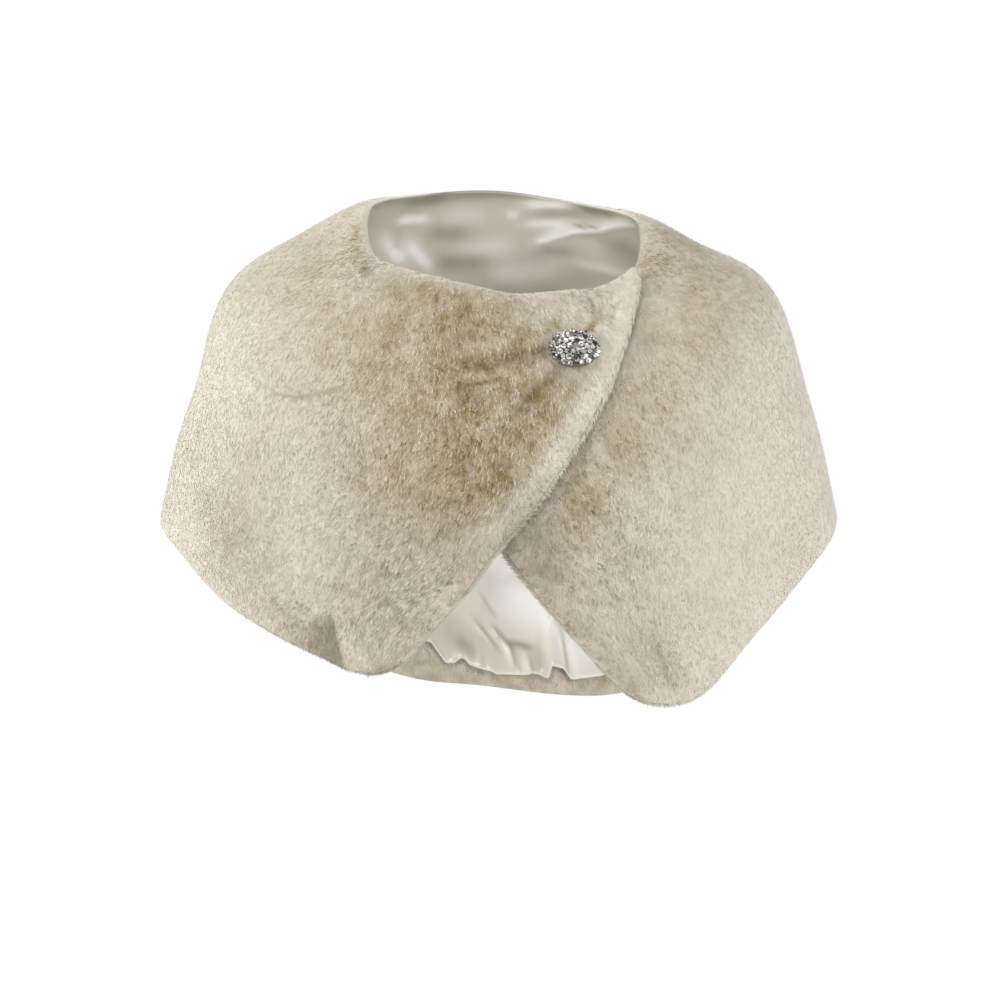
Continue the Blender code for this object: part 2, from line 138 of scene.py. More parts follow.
# Thin lines where the pile parts; its colour is darker there too, partly roots showing and partly painted
# shade in the crack
Parting = namedtuple("Parting", "azimuth share to_azimuth to_share width")
PARTINGS = rows_of(
    Parting,
    (-59, 0.48, -54, 0.456, 0.0018), (-54, 0.456, -45, 0.374, 0.0018),
    (-76.5, 0.862, -75, 0.885, 0.0014), (-12, 0.264, -1, 0.238, 0.0012),
    (-18, 0.535, -12, 0.53, 0.0012),
)
PARTING_ENDS = (-0.15, 0.15)  # shares from an end of a parting between which it deepens

# Streaks of darker, tan pile along lines on the cloth
Streak = namedtuple("Streak", "azimuth share to_azimuth to_share width strength")
STREAKS = rows_of(
    Streak,
    (-13, 0.215, 13, 0.178, 0.006, 0.52), (18, 0.242, 7, 0.316, 0.0065, 0.44),
    (36, 0.118, 31, 0.144, 0.0035, 0.66), (37, 0.05, 35.5, 0.112, 0.0028, 0.66),
    (33, 0.058, 34.5, 0.1, 0.002, 0.46), (42, 0.064, 37, 0.112, 0.0022, 0.46),
    (-32, 0.056, -16, 0.07, 0.015, 0.74), (-16, 0.074, -4, 0.112, 0.014, 0.78),
    (-4, 0.112, 14, 0.128, 0.008, 0.66), (14, 0.128, 22, 0.108, 0.0075, 0.54),
    (-82, 0.028, -69, 0.048, 0.009, 0.52), (-69, 0.048, -56, 0.078, 0.011, 0.58),
)

# Painted shade beside troughs of the pile with one sharp side: a line on the cloth, the side of it that is
# painted darker (1 towards +azimuth, -1 the other way), width and strength
HollowShade = namedtuple("HollowShade", "azimuth share to_azimuth to_share side width strength")
HOLLOW_SHADES = rows_of(
    HollowShade,
    (-42.6, 0.845, -38.2, 0.985, -1, 0.027, 1.6), (37.6, 0.835, 39.8, 0.93, 1, 0.013, 0.66),
)

HOLLOW_LINE_END = 1.2  # share of its run to which a hollow's line keeps its slope
HOLLOW_START = 0.05  # share of its width that it has at the top
HOLLOW_EDGE = 0.0014  # half of the width of its sharp side
HOLLOW_RISE = 0.55  # share of its run over which its painted shade gets dark
HOLLOW_FADE = (1.05, 1.5)  # shares of its run between which it ends

# Painted shade in the pile's colour, soft: in the troughs that the brooch pulls, at partings and beside the
# edge beneath
SHADES = rows_of(
    Streak,
    (-14, 0.213, 16, 0.17, 0.0052, 0.86), (21, 0.226, 6, 0.318, 0.006, 0.86),
    (-13, 0.265, 0, 0.237, 0.0018, 0.46), (-58, 0.475, -54, 0.456, 0.0008, 0.8),
    (-54, 0.456, -46.5, 0.387, 0.0008, 1.0), (37, 0.112, 32, 0.14, 0.0026, 0.4),
    (3, 0.625, 14, 0.775, 0.013, 0.8), (14, 0.775, 33, 0.99, 0.013, 0.62),
    (24, 0.47, 10, 0.61, 0.011, 0.36),
)
# the most painted shade that a point of the pile gets
DEEPEST_SHADE = 1.3

# Patches of darker, tan pile: place, size across and down in metres, and strength
Patch = namedtuple("Patch", "azimuth share width length strength")
PATCHES = rows_of(
    Patch,
    (-38, 0.205, 0.032, 0.024, 0.66), (-41, 0.1, 0.03, 0.026, 0.46), (-33, 0.13, 0.03, 0.026, 0.54),
    (-14, 0.115, 0.05, 0.036, 0.74), (3, 0.165, 0.038, 0.022, 0.6), (-17, 0.178, 0.036, 0.024, 0.74),
    (8, 0.26, 0.03, 0.024, 0.62), (-9, 0.41, 0.034, 0.036, 0.78), (-2, 0.47, 0.036, 0.024, 0.82),
    (7, 0.38, 0.032, 0.032, 0.7), (-8, 0.3, 0.08, 0.075, 0.67), (14, 0.33, 0.044, 0.04, 0.64),
    (-30, 0.28, 0.075, 0.075, 0.52), (-20, 0.5, 0.075, 0.055, 0.54), (-44, 0.4, 0.02, 0.014, 0.5),
    (-30, 0.76, 0.06, 0.07, 0.2), (-16, 0.67, 0.05, 0.05, 0.22), (-24, 0.86, 0.05, 0.05, 0.18),
    (-56, 0.62, 0.06, 0.07, 0.16), (-50, 0.93, 0.032, 0.022, 0.2), (-61, 0.85, 0.055, 0.045, 0.18),
    (-70, 0.15, 0.07, 0.055, 0.34), (-50, 0.24, 0.06, 0.05, 0.44), (-29, 0.985, 0.014, 0.01, 0.5),
    (40, 0.34, 0.036, 0.036, 0.44), (53, 0.22, 0.038, 0.028, 0.36), (35, 0.42, 0.03, 0.04, 0.46),
    (24, 0.54, 0.026, 0.04, 0.54), (68, 0.25, 0.066, 0.05, 0.38), (60, 0.32, 0.048, 0.036, 0.4),
    (47, 0.38, 0.042, 0.05, 0.4), (89, 0.12, 0.03, 0.045, 0.3), (72, 0.06, 0.024, 0.022, 0.46),
    (24, 0.66, 0.04, 0.07, 0.26), (34, 0.88, 0.036, 0.05, 0.16), (150, 0.45, 0.08, 0.08, 0.34),
    (172, 0.25, 0.06, 0.045, 0.5), (196, 0.3, 0.055, 0.055, 0.52), (214, 0.6, 0.07, 0.07, 0.42),
    (186, 0.75, 0.08, 0.06, 0.26), (140, 0.85, 0.06, 0.06, 0.24), (238, 0.4, 0.07, 0.07, 0.28),
)

# Patches of greyer, darker pile, added to the painted shade: painted shade beside the top of the gap under
# the edge above and on the shoulder by the left front's side seam, and greyer pile on the lower fronts
GREY_AND_SHADE_PATCHES = rows_of(
    Patch,
    (-30, 0.76, 0.06, 0.07, 0.34), (-16, 0.67, 0.05, 0.05, 0.4), (-24, 0.86, 0.05, 0.05, 0.36),
    (-50, 0.93, 0.032, 0.022, 0.3), (-61, 0.85, 0.055, 0.045, 0.36), (-34, 0.58, 0.04, 0.06, 0.16),
    (26, 0.68, 0.04, 0.07, 0.29), (10, 0.67, 0.03, 0.04, 0.95), (34, 0.88, 0.036, 0.05, 0.2),
    (92, 0.13, 0.048, 0.065, 0.62),
)

# Areas where the pile is ruffled; it lies smooth elsewhere
RUFFLES = rows_of(
    Patch,
    (-30, 0.5, 0.1, 0.13, 0.7), (-24, 0.78, 0.08, 0.08, 0.75), (-8, 0.32, 0.085, 0.1, 0.95),
    (-64, 0.04, 0.035, 0.045, 0.9), (33, 0.07, 0.03, 0.028, 0.75), (5, 0.09, 0.045, 0.028, 0.7),
    (-56, 0.5, 0.07, 0.2, 0.16), (28, 0.55, 0.052, 0.12, 0.8), (43, 0.37, 0.045, 0.05, 0.55),
    (41, 0.88, 0.034, 0.05, 0.7), (76, 0.03, 0.03, 0.03, 0.6), (-45, 0.92, 0.045, 0.04, 0.65),
    (180, 0.4, 0.13, 0.18, 0.8), (215, 0.7, 0.11, 0.13, 0.8), (150, 0.6, 0.11, 0.14, 0.75),
    (240, 0.4, 0.08, 0.15, 0.5), (118, 0.45, 0.08, 0.15, 0.5),
)
SMOOTH = 0.06  # how ruffled the smooth areas are
# Areas where the strands are longer and lie aslant: down to the viewer's left, and to the viewer's right
SLANTS_LEFT = rows_of(
    Patch,
    (-24, 0.74, 0.08, 0.08, 0.7), (-50, 0.93, 0.04, 0.03, 0.6), (208, 0.5, 0.11, 0.15, 0.45),
)
SLANTS_RIGHT = rows_of(Patch, (26, 0.76, 0.045, 0.08, 0.5), (150, 0.7, 0.1, 0.1, 0.4))
SLANT_GROWTH = 0.6  # how much longer a strand gets there

# The pile: a dense body, and over it strands, each a narrow kite, gathered into tufts
BODY_INSET = (0.0006, 0.0016)  # how far the body lies below the tips, where the pile is smooth and ruffled
BODY_HEIGHT = 0.55  # place along a strand whose colour the body has
ROOT_SINK = 0.0007  # how far the roots lie inside the body
PARTING_DEPTH = 0.0007
STROKE = (0.0011, 0.0034)  # size of the strokes on the body, across and along the nap
STRANDS_RIGHT = 92000
STRANDS_LEFT = 46000
STRANDS_BACK = 94000
STRANDS_HEM = 9000
STRANDS_INSIDE = 3000
STRANDS_RIM = 10500  # for each metre of cut edge
SIDE_THINNING = 0.5  # share of the strands that the fronts lose towards the side seams
SIDE_START = 50.0  # azimuth from which they get fewer
PIECE_STRANDS = 90000  # the most strands in one piece
STRANDS_PER_TUFT = 5
TUFT_CHOICES = 7  # tufts near a strand, of which it joins one
TUFT_STRETCH = 0.8  # how much less a distance along the nap counts for that, squared
STRAND_REACH = 0.0030  # how far a tip lies from its root along the cloth
STRAND_LONGEST = 0.0085  # a strand that would be longer, at a corner of the cloth, is left out
STRAND_WIDTH = 0.00046
RIM_REACH = (0.0030, 0.0046)  # how far the strands on a cut rim reach, on a hem and on a front edge
ROOT_INSET_HEM = 0.0018  # how far the roots stay from a cut edge
ROOT_INSET_EDGE = 0.0016
EDGE_TURN = 0.014  # width beside a front edge where the pile turns outwards
NECK_TURN = 0.006  # the same beside the neck edge, where it turns up
EDGE_OUT = 1.3  # how far it turns outwards at a front edge
EDGE_FALL = 0.5  # how much less it falls there
NECK_RISE = 1.5  # how much it turns up at the neck edge
# The band beside the edge above is painted lighter by taking tan out: partly painted light, as the edge's
# roll faces the lamps, and partly paler pile
EDGE_LIGHT = (0.010, 0.026)  # distances from the edge above between which its lighter band ends
EDGE_LIGHT_END = (0.45, 0.65)  # shares between which that band ends
EDGE_FADE = 0.88  # share of the tan that it loses
EDGE_RUFFLE = 0.34  # how ruffled that band is
EDGE_RUFFLE_START = (0.1, 0.3)  # shares between which it gets ruffled
CHART_CELLS = 44  # cells of the colour chart, across and down
CHART_ACROSS = (0.15, 0.85)  # places in a cell of the darkest and the lightest tint
CHART_DOWN = (0.06, 0.94)  # places in a cell of a root and a tip

# How tufts, and the strands of one tuft, differ; pairs that are no ranges are for smooth and ruffled pile
TUFT_SWING = 0.22  # angle of the nap
STRAND_SWING = 0.10
REACHES = (0.75, 1.2)  # range of the reach of strands
TUFT_REACH = 0.12
TUFT_PULLS = (0.05, 0.45)  # range of how far a tip goes to the middle of its tuft
LIVELY = (0.4, 1.0)  # how much of that, and of the body's relief, there is
MIDDLE = 0.42  # share of a strand's run at which it is widest
MIDDLE_PULL = 0.2  # share of the tip's pull that its middle takes
STRAND_UNEVEN = 0.5  # shares of the body's inset by which tips end lower
TUFT_UNEVEN = 0.22
LOWEST_TIP = 0.9
ROLL = (0.08, 0.45)  # angle by which strands roll
TILT = (0.08, 0.36)  # how far their normals turn from the cloth's to their own
WIDTHS = (0.7, 1.3)  # range of the width of strands
STRAND_SPECKLE = 0.55  # lightness
TUFT_SPECKLE = 0.85
SPECKLE_LIMITS = (-1.8, 1.4)  # range of both together
TINT = 0.5  # the tint of plain pile, and what speckle, partings and painted shade change
SPECKLE_TINT = 0.34
PARTING_TINT = 0.65
SHADE_TINT = 0.45
SPECKLE_TAN = 0.20
SHADE_TAN = 0.22
BODY_PARTING = 0.8  # how much darker the body is painted in partings and in shade
BODY_SHADE = 0.75
RELIEF_LIGHT = 200.0  # how much lighter it is for each metre that it stands out

# Strands on a cut rim
RIM_REACHES = (0.5, 1.1)  # range of their reach
RIM_STRAY = 0.45  # how far they turn aside
RIM_MIDDLE = 0.45  # share of the run at which they are widest
RIM_WIDTHS = (0.8, 1.5)  # range of their width
RIM_MIDDLE_DEPTH = 0.6  # how far their middle has gone from the body's depth to the pile's
RIM_TURN = 0.6  # twice the level in the rim's depth at which they face neither in nor out
RIM_RUN = 0.4  # how far their normals lean along them
# lighter than plain pile: painted light on the rim strands, which face away from the lamps
RIM_LIT_TINT = 0.54
RIM_SPECKLE = 0.10

# Smooth noise: amount, size in metres and seed of each layer
NOISE_VALUES = 4096
NOISE_STRIDES = (1, 57, 1013)
Layer = namedtuple("Layer", "amount size seed")
MOTTLE = rows_of(Layer, (0.22, 0.014, 11), (0.32, 0.005, 12))  # of the tan patches
HAZE = rows_of(Layer, (0.06, 0.035, 13))  # of faint tan everywhere
HAZE_LEVEL = 0.05
SHADE_MOTTLE = rows_of(Layer, (0.4, 0.005, 14))
NAP_LEAN = rows_of(Layer, (0.35, 0.045, 1), (0.22, 0.014, 2))  # angle
NAP_SWAY = rows_of(Layer, (0.004, 0.03, 41), (0.0012, 0.009, 42))  # of the strokes on the body
SWAY_DOWN = 0.5  # how much of that goes along the nap
BODY_RELIEF = rows_of(Layer, (0.0002, 0.006, 43), (0.0003, 0.0034, 44))
HEM_MOTTLE = rows_of(Layer, (0.22, 0.006, 51))
HEM_RELIEF = rows_of(Layer, (0.22, 0.005, 52))
FRONT_SWELL = rows_of(Layer, (0.0018, 0.04, 31), (0.0008, 0.015, 32))  # of the satin
BACK_SWELL = rows_of(Layer, (0.0016, 0.045, 21), (0.0006, 0.018, 22))

# Colours of the pile at the root, half way and at the tip of a strand
CREAM = ((0.48, 0.43, 0.33), (0.72, 0.67, 0.57), (0.79, 0.745, 0.65))
TAN = ((0.12, 0.076, 0.030), (0.295, 0.204, 0.085), (0.44, 0.336, 0.172))
SEED = 7

# The cut of each cloth piece laid flat: (width, length) and area
RIGHT_CUT = ((0.38, 0.36), 0.093)
LEFT_CUT = ((0.37, 0.36), 0.091)
BACK_CUT = ((0.71, 0.42), 0.193)
RIGHT_LINING_CUT = ((0.35, 0.33), 0.083)
LEFT_LINING_CUT = ((0.34, 0.33), 0.081)

# Places where the back hem, and the neck edge of the front above, hang lower: azimuth, width in degrees
# and share
Drop = namedtuple("Drop", "azimuth width share")
HEM_DROPS = rows_of(Drop, (147, 13.0, 0.014), (203, 13.0, 0.007))
NECK_DROPS = rows_of(Drop, (8, 15.0, 0.01))

# The hem that is turned up inside the back, and the turned-in edges of the fronts
TURNED_HEM_TOP = 0.92  # shares between which the hem lies
TURNED_HEM_END = 0.993
TURNED_RISE = 0.012  # share over which the pile of the turned hem rises below the lining
HEM_START = 0.004  # share above the lining's edge at which that pile starts
HEM_NAP = -0.75  # it lies upwards, as it was cut with the back
HEM_SHADE_TONE = -0.24  # painted shade: its tint is darker, as it lies in shade inside
# more tan in the turned hem, which darkens it as painted shade
HEM_TAN = 0.20
HEM_HEIGHT = 0.28  # place along a strand whose colour its body has, nearer the root as painted shade
HEM_RUFFLE = 0.9
HEM_INSET = 0.5  # how ruffled it is for the inset of its body
TURNED_MARGIN = 0.01  # share by which the pile inside a front runs under the lining's edge
TURNED_DEPTH = 0.0042
TURNED_NAP = -0.7

# The linings: the lower edge of the back one, creases and puckers
EdgePoint = namedtuple("EdgePoint", "azimuth share")
LINING_EDGE = rows_of(
    EdgePoint,
    (95, 0.955), (120, 0.962), (140, 0.957), (151.7, 0.974), (159.7, 0.972), (161.6, 0.953),
    (164.9, 0.947), (165.5, 0.967), (166.4, 0.968), (168.4, 0.962), (170.1, 0.961), (172.3, 0.965),
    (176.9, 0.967), (181.2, 0.97), (182.6, 0.966), (187.3, 0.963), (189.7, 0.96), (190.9, 0.952),
    (192.2, 0.95), (193.9, 0.961), (196.2, 0.964), (200.3, 0.932), (210, 0.94), (225, 0.958),
    (245, 0.962), (265, 0.955),
)
# Creases of the satin, each along a line on the cloth, and how much lighter or darker it is painted there:
# painted highlights and painted shade, some of them with no crease under them (height 0)
Crease = namedtuple("Crease", "azimuth share to_azimuth to_share width height light")
BACK_CREASES = rows_of(
    Crease,
    (165, 0.132, 146, 0.082, 0.005, 0.0034, 0.62), (160, 0.1, 100, 0.012, 0.0052, 0.0036, 0.6),
    (170, 0.08, 143, 0.056, 0.004, 0.001, 0.44), (146, 0.066, 127, 0.047, 0.0016, -0.0008, -0.6),
    (168, 0.024, 138, 0.002, 0.0036, 0.0012, 0.66), (163, 0.047, 133, 0.021, 0.005, 0.0, -0.28),
    (138, 0.006, 115, 0.01, 0.0055, 0.0, -0.24), (177, 0.048, 169, 0.052, 0.005, 0.0008, 0.3),
    (232, 0.062, 215, 0.064, 0.0044, 0.0012, 0.58), (234, 0.104, 217, 0.205, 0.0062, 0.002, 0.4),
    (226, 0.158, 218, 0.184, 0.0046, 0.0008, 0.34), (222, 0.122, 206, 0.21, 0.0062, 0.002, 0.52),
    (210, 0.068, 186, 0.06, 0.008, 0.0, 0.18), (205, 0.15, 170, 0.146, 0.0095, 0.0008, 0.26),
    (187, 0.216, 154, 0.2, 0.0105, 0.0008, 0.28), (153, 0.17, 129, 0.22, 0.005, 0.0008, 0.26),
    (216, 0.106, 193, 0.112, 0.008, 0.0, -0.3), (209, 0.192, 183, 0.188, 0.0085, 0.0, -0.34),
    (165, 0.156, 147, 0.15, 0.0065, 0.0, -0.26), (130, 0.08, 122, 0.21, 0.014, 0.0, -0.34),
    (237, 0.02, 208, 0.01, 0.0065, 0.0, -0.26), (216, 0.008, 164, 0.005, 0.005, 0.0, -0.16),
    (187, 0.28, 154, 0.27, 0.011, 0.0, -0.2), (160, 0.2, 124, 0.26, 0.02, 0.0, -0.22),
    (187, 0.62, 165, 0.9, 0.032, 0.0, 0.56), (167, 0.8, 152, 0.99, 0.018, 0.0, 0.3),
    (200, 0.885, 186, 0.94, 0.014, 0.0, -0.2), (194, 0.912, 187, 0.95, 0.005, 0.0, -0.2),
    (188.8, 0.876, 179.6, 0.928, 0.0024, -0.0008, -0.26),
    (185.6, 0.88, 178.0, 0.928, 0.0022, 0.0003, 0.14),
    (183.2, 0.88, 175.2, 0.926, 0.0028, -0.001, -0.4),
    (177.0, 0.916, 174.4, 0.958, 0.0022, -0.0004, -0.26),
    (180.4, 0.896, 175.6, 0.966, 0.0026, 0.0004, 0.16),
    (177.6, 0.909, 170.0, 0.917, 0.0028, -0.0008, -0.44),
    (173.0, 0.914, 166.0, 0.952, 0.007, 0.0, -0.14),
    (187.2, 0.826, 180.6, 0.872, 0.0022, -0.0006, -0.22),
    (173.4, 0.924, 172.6, 0.966, 0.0018, 0.0008, 0.18),
    (171.0, 0.93, 170.2, 0.97, 0.0016, -0.0006, -0.24), (168.5, 0.85, 167.0, 0.985, 0.005, 0.0, -0.14),
    (167.4, 0.842, 161.6, 0.902, 0.0022, 0.0006, -0.2),
    (162.4, 0.88, 160.0, 0.976, 0.0017, 0.0012, -0.4),
    (160.6, 0.896, 158.2, 0.972, 0.0028, 0.0008, 0.12), (130, 0.3, 134, 0.7, 0.016, 0.004, 0.1),
    (150, 0.45, 154, 0.76, 0.014, 0.003, 0.1), (212, 0.35, 208, 0.75, 0.015, 0.004, 0.1),
    (238, 0.3, 240, 0.8, 0.016, 0.004, 0.1),
)
FRONT_CREASES = rows_of(
    Crease,
    (-80, 0.15, -76, 0.6, 0.014, 0.004, 0.1), (-50, 0.25, -58, 0.8, 0.016, 0.004, 0.1),
    (-20, 0.1, -35, 0.55, 0.013, 0.003, 0.1), (20, 0.12, 5, 0.3, 0.012, 0.003, 0.1),
    (30, 0.2, 38, 0.75, 0.015, 0.004, 0.1), (62, 0.15, 58, 0.7, 0.016, 0.004, 0.1),
    (82, 0.25, 84, 0.8, 0.014, 0.003, 0.1),
)
CREASE_STEPS = 7  # points along a crease
CREASE_ENDS = (-0.12, 0.35)  # shares from an end of a crease between which it rises
PLAIN_LIGHT = 0.5  # how light plain satin is
FRONT_SEWN = 0.05  # share beside its edges over which a front lining lies flat
BACK_SEWN = 0.03  # the same at the neck of the back lining
BACK_ROWS = ((0, 0.32, 0.56, 1), (0, 0.24, 0.80, 1))  # rows of its grid, and where they lie
BACK_STRETCH = 1.2  # how much longer a share is near its lower edge
PUCKER_SPACING = 3.7  # azimuth
PUCKER_LENGTH = 0.008
PUCKER_HEIGHT = 0.0011
PUCKER_LEVEL = 0.45  # share of their height that they mostly have, and the least
PUCKER_LEAST = 0.08
PUCKER_BEAT = 0.19  # radians for a degree of azimuth, in which their height comes and goes
# Waves along the azimuth: height, radians for a degree, and radians at the start
Wave = namedtuple("Wave", "height rate start")
PUCKER_WANDER = rows_of(Wave, (2.2, 0.21, 0.0), (1.3, 0.077, 1.0))
PUCKER_CHANGE = rows_of(Wave, (0.6, 0.53, 0.4))
PUCKER_REACH = rows_of(Wave, (0.6, 0.37, 0.0))
LIP_HEIGHT = 0.0008  # the rolled lower edge of the back lining
LIP_WIDTH = 0.0014
# how much lighter the rolled edge is painted: a painted highlight
LIP_LIGHT = 0.50
NECK_LIP = 0.004  # share by which the back lining stands up over the neck edge
NECK_LIP_TAPER = 14.0  # azimuth from a side seam over which it rises
NECK_LIP_SHADE = 0.25  # how much darker it is painted there, as shade

# Lamps: place, size across in metres and power in watts
Lamp = namedtuple("Lamp", "name place size power")
LAMPS = rows_of(
    Lamp,
    ("left", (-2.3, -1.1, 0.9), 1.4, 46), ("right", (2.3, -1.3, 0.7), 1.4, 28),
    ("front", (0.0, -2.5, -0.15), 0.9, 11), ("top", (0.0, -0.3, 1.9), 1.2, 12),
    ("behind", (0.4, 2.3, 1.0), 1.6, 26), ("left_side", (-2.4, 0.9, 0.1), 1.2, 6),
    ("right_side", (2.4, 0.9, 0.1), 1.2, 3),
)
WORLD_STRENGTH = 0.36  # of the light on the part; the backdrop itself is white
FLOOR_SHADE = 0.85  # how light the floor is for the part; the camera sees it white

# The brooch: stones in rings, cups and beads around them, and a few larger stones below the middle
STONE_ROW = 0.0037  # between rows of stones
STONE_EDGE = (0.0170, 0.0124)  # half width and half height of the ring of outer stones
STONE_EDGE_COUNT = 24
BigStone = namedtuple("BigStone", "across up radius")
BIG_STONES = rows_of(
    BigStone, (-0.0046, -0.0082, 0.0023), (0.001, -0.0088, 0.003), (0.0066, -0.008, 0.0024)
)
STONE_RADIUS = 0.0020
STONE_SIDES = 8
STONE_ROWS = 5  # on each side of the middle one
STONE_COLUMNS = 7
STONE_SPREAD = 1.12  # distance across between stones, in rows
STONE_JITTER = 0.0004
STONE_SIZES = (0.74, 1.15)  # range of their radius
STONE_MARGIN = 0.0006  # how far a stone may pass the outer ring
STONE_APART = 0.80  # least distance of two stones, in the sum of their radii
STONE_TILT = 0.8  # share of the dome's slope that a stone takes
STONE_LEAN = 0.10  # and how far it leans at random
STONE_TABLE = (0.64, 0.58)  # reach and height of the flat top's corners, in radii
STONE_GIRDLE = 0.12
STONE_TOP = 0.66
TABLE_GLINT = 0.08  # how much the facets of one top differ
LARGE_STONE = 1.2  # radius, in that of the others, from which a stone is large
LARGE_DIM = 0.30  # how much darker large stones are painted: fewer painted glints
SIDE_DIM = 0.34  # and those at the left side, with fewer painted glints too
SIDE_DIM_PLACE = (0.011, 0.016)
CUP_SIDES = 10
CUP_OUTLINE = ((1.16, -0.5), (1.12, 0.02), (1.04, 0.20), (0.94, 0.20), (0.92, 0.0))  # in radii
BEAD_SHARE = 0.17  # radius of a bead as a share of its stone's
BEAD_PLACE = (1.02, 0.30, 0.25)  # reach and height from its stone, in radii, and turn
BEAD_RINGS = (8, 45, 85, 125)  # degrees from its top
BEAD_SIDES = 6
BEADS = 4  # for each stone
SCALLOPS = 22
SCALLOP_DEPTH = 0.035
SCALLOP_POINTS = 6  # for each scallop
BROOCH_AZIMUTH = 26.0
BROOCH_SHARE = 0.186
BROOCH_WIDTH = 0.038
BROOCH_HEIGHT = 0.029
BROOCH_SINK = 0.004
BROOCH_DIMPLE = (1.9, 2.6)
SETTING_DEPTH = 0.003
# Reach and height of the loops of its back and rim
SETTING_RIM = (
    (0.01, 0.0), (0.88, 0.0), (0.95, 0.0006), (0.97, 0.0015), (0.96, 0.0026), (0.92, SETTING_DEPTH)
)
# How bright its rim, its dome, a cup and a bead are
RIM_BRIGHT = 0.35
DOME_BRIGHT = 0.05
CUP_BRIGHT = 0.55
BEAD_BRIGHT = 1.0
DOME_DEPTH = 0.005
DOME_SIZE = 0.93
DOME_FALL = 0.9
DOME_LEAST = 0.02
DOME_RINGS = (0.9, 0.02, 9)  # reach of the first and the last ring, and their number
DOME_SINK = 0.0004  # how far the metal lies below the stones' middles

# Framing of the photograph
CAMERA_AIM = (0.0, 0.0, -0.2187)
CAMERA_DISTANCE = 2.2
CAMERA_ELEVATION = 6.0
FRAME_WIDTH = 0.75  # metres across the frame at the aim
SENSOR_WIDTH = 36.0
FLOOR_DROP = 0.62
FLOOR_SIZE = 6.0  # half of its width


# Curves and noise


def cubic(knots, values, at):
    """A smooth curve through values at uneven knots, read at the places given."""
    knots = np.asarray(knots, float)
    values = np.asarray(values, float)
    at = np.asarray(at, float)
    slopes = np.gradient(values, knots, axis=0)
    cell = np.clip(np.searchsorted(knots, at, side="right") - 1, 0, len(knots) - 2)
    width = knots[cell + 1] - knots[cell]
    u = (at - knots[cell]) / width
    more_axes = (1,) * (values.ndim - 1)
    width = width.reshape(width.shape + more_axes)
    u = u.reshape(u.shape + more_axes)
    start = values[cell] * (1 + 2 * u) + slopes[cell] * width * u
    end = values[cell + 1] * (3 - 2 * u) - slopes[cell + 1] * width * (1 - u)
    return start * (1 - u) ** 2 + end * u**2


def ramp(value, low, high):
    """0 up to low, 1 from high, and an S-curve between."""
    t = np.clip((value - low) / (high - low), 0, 1)
    return t * t * (3 - 2 * t)


def bell(distance, width):
    return np.exp(-((distance / width) ** 2))


def turn_between(first, second):
    """Degrees from one azimuth to another, from -180 to 180."""
    return (second - first + 180) % 360 - 180


def unit(vectors):
    return vectors / np.maximum(np.linalg.norm(vectors, axis=-1, keepdims=True), 1e-12)


def between(ends, t):
    """From the first of two values, at 0, to the second, at 1."""
    return ends[0] + (ends[1] - ends[0]) * t


def noise(points, size, seed):
    """Smooth noise from -1 to 1 over points in space, with features of a given size."""
    lattice = np.random.default_rng(seed).uniform(-1, 1, NOISE_VALUES)
    scaled = points / size
    corner = np.floor(scaled).astype(np.int64)
    t = scaled - corner
    t = t * t * (3 - 2 * t)
    total = np.zeros(points.shape[:-1])
    for step in itertools.product((0, 1), repeat=3):
        number = ((corner + step) * NOISE_STRIDES).sum(axis=-1) % NOISE_VALUES
        x, y, z = np.moveaxis(np.abs(1 - np.array(step) - t), -1, 0)
        total += x * y * z * lattice[number]
    return total


def layered(points, layers, seed=0):
    """Noises of several sizes, added up."""
    return sum(layer.amount * noise(points, layer.size, seed + layer.seed) for layer in layers)


# The form that the part is built on


def bare_form(azimuth, share):
    """Points of the ground cloth before its folds."""
    turns = np.array([row.azimuth + turn for turn in (-360, 0, 360) for row in SECTIONS])
    stations = np.array([row[1:] for row in SECTIONS] * 3)
    weights = cubic(STATION_SHARES, np.eye(len(STATION_SHARES)), share)
    placed = (cubic(turns, stations, azimuth) * weights[..., None]).sum(axis=-2)
    reach = placed[..., 0]
    drop = placed[..., 1]
    angle = np.radians(azimuth)
    return np.stack([reach * np.sin(angle), -reach * np.cos(angle), -drop], axis=-1)


def steps_on_form(azimuth, share):
    """Metres for one degree of azimuth and for one whole share, as vectors along the bare form."""
    turn = 0.5
    step = 0.004
    across = bare_form(azimuth + turn, share) - bare_form(azimuth - turn, share)
    below = np.minimum(share + step, 1)
    above = np.maximum(share - step, 0)
    down = bare_form(azimuth, below) - bare_form(azimuth, above)
    return across / (2 * turn), down / (below - above)[..., None]


def outward(azimuth, share):
    """Unit normals of the bare form."""
    across, down = steps_on_form(azimuth, share)
    return unit(np.cross(down, across))


def near_line(line, azimuth, share):
    """Distance to a line on the cloth and share of the way along it."""
    run = np.array([
        (line.to_azimuth - line.azimuth) * METRES_PER_DEGREE,
        (line.to_share - line.share) * METRES_PER_SHARE,
    ])
    turn = turn_between(line.azimuth, azimuth)
    away = np.stack([turn * METRES_PER_DEGREE, (share - line.share) * METRES_PER_SHARE], axis=-1)
    along = np.clip((away @ run) / (run @ run), 0, 1)
    offset = away - along[..., None] * run
    return np.linalg.norm(offset, axis=-1), along


def fold_height(folds, azimuth, share):
    """How far the folds stand out at each place."""
    height = np.zeros(np.shape(azimuth))
    for fold in folds:
        distance, along = near_line(fold, azimuth, share)
        height += fold.height * ramp(along, 0, FOLD_TAPER) * bell(distance, fold.width)
    return height


def over_edge(share):
    return cubic([row.share for row in FRONT_EDGES], [row.over for row in FRONT_EDGES], share)


def under_edge(share):
    return cubic([row.share for row in FRONT_EDGES], [row.under for row in FRONT_EDGES], share)


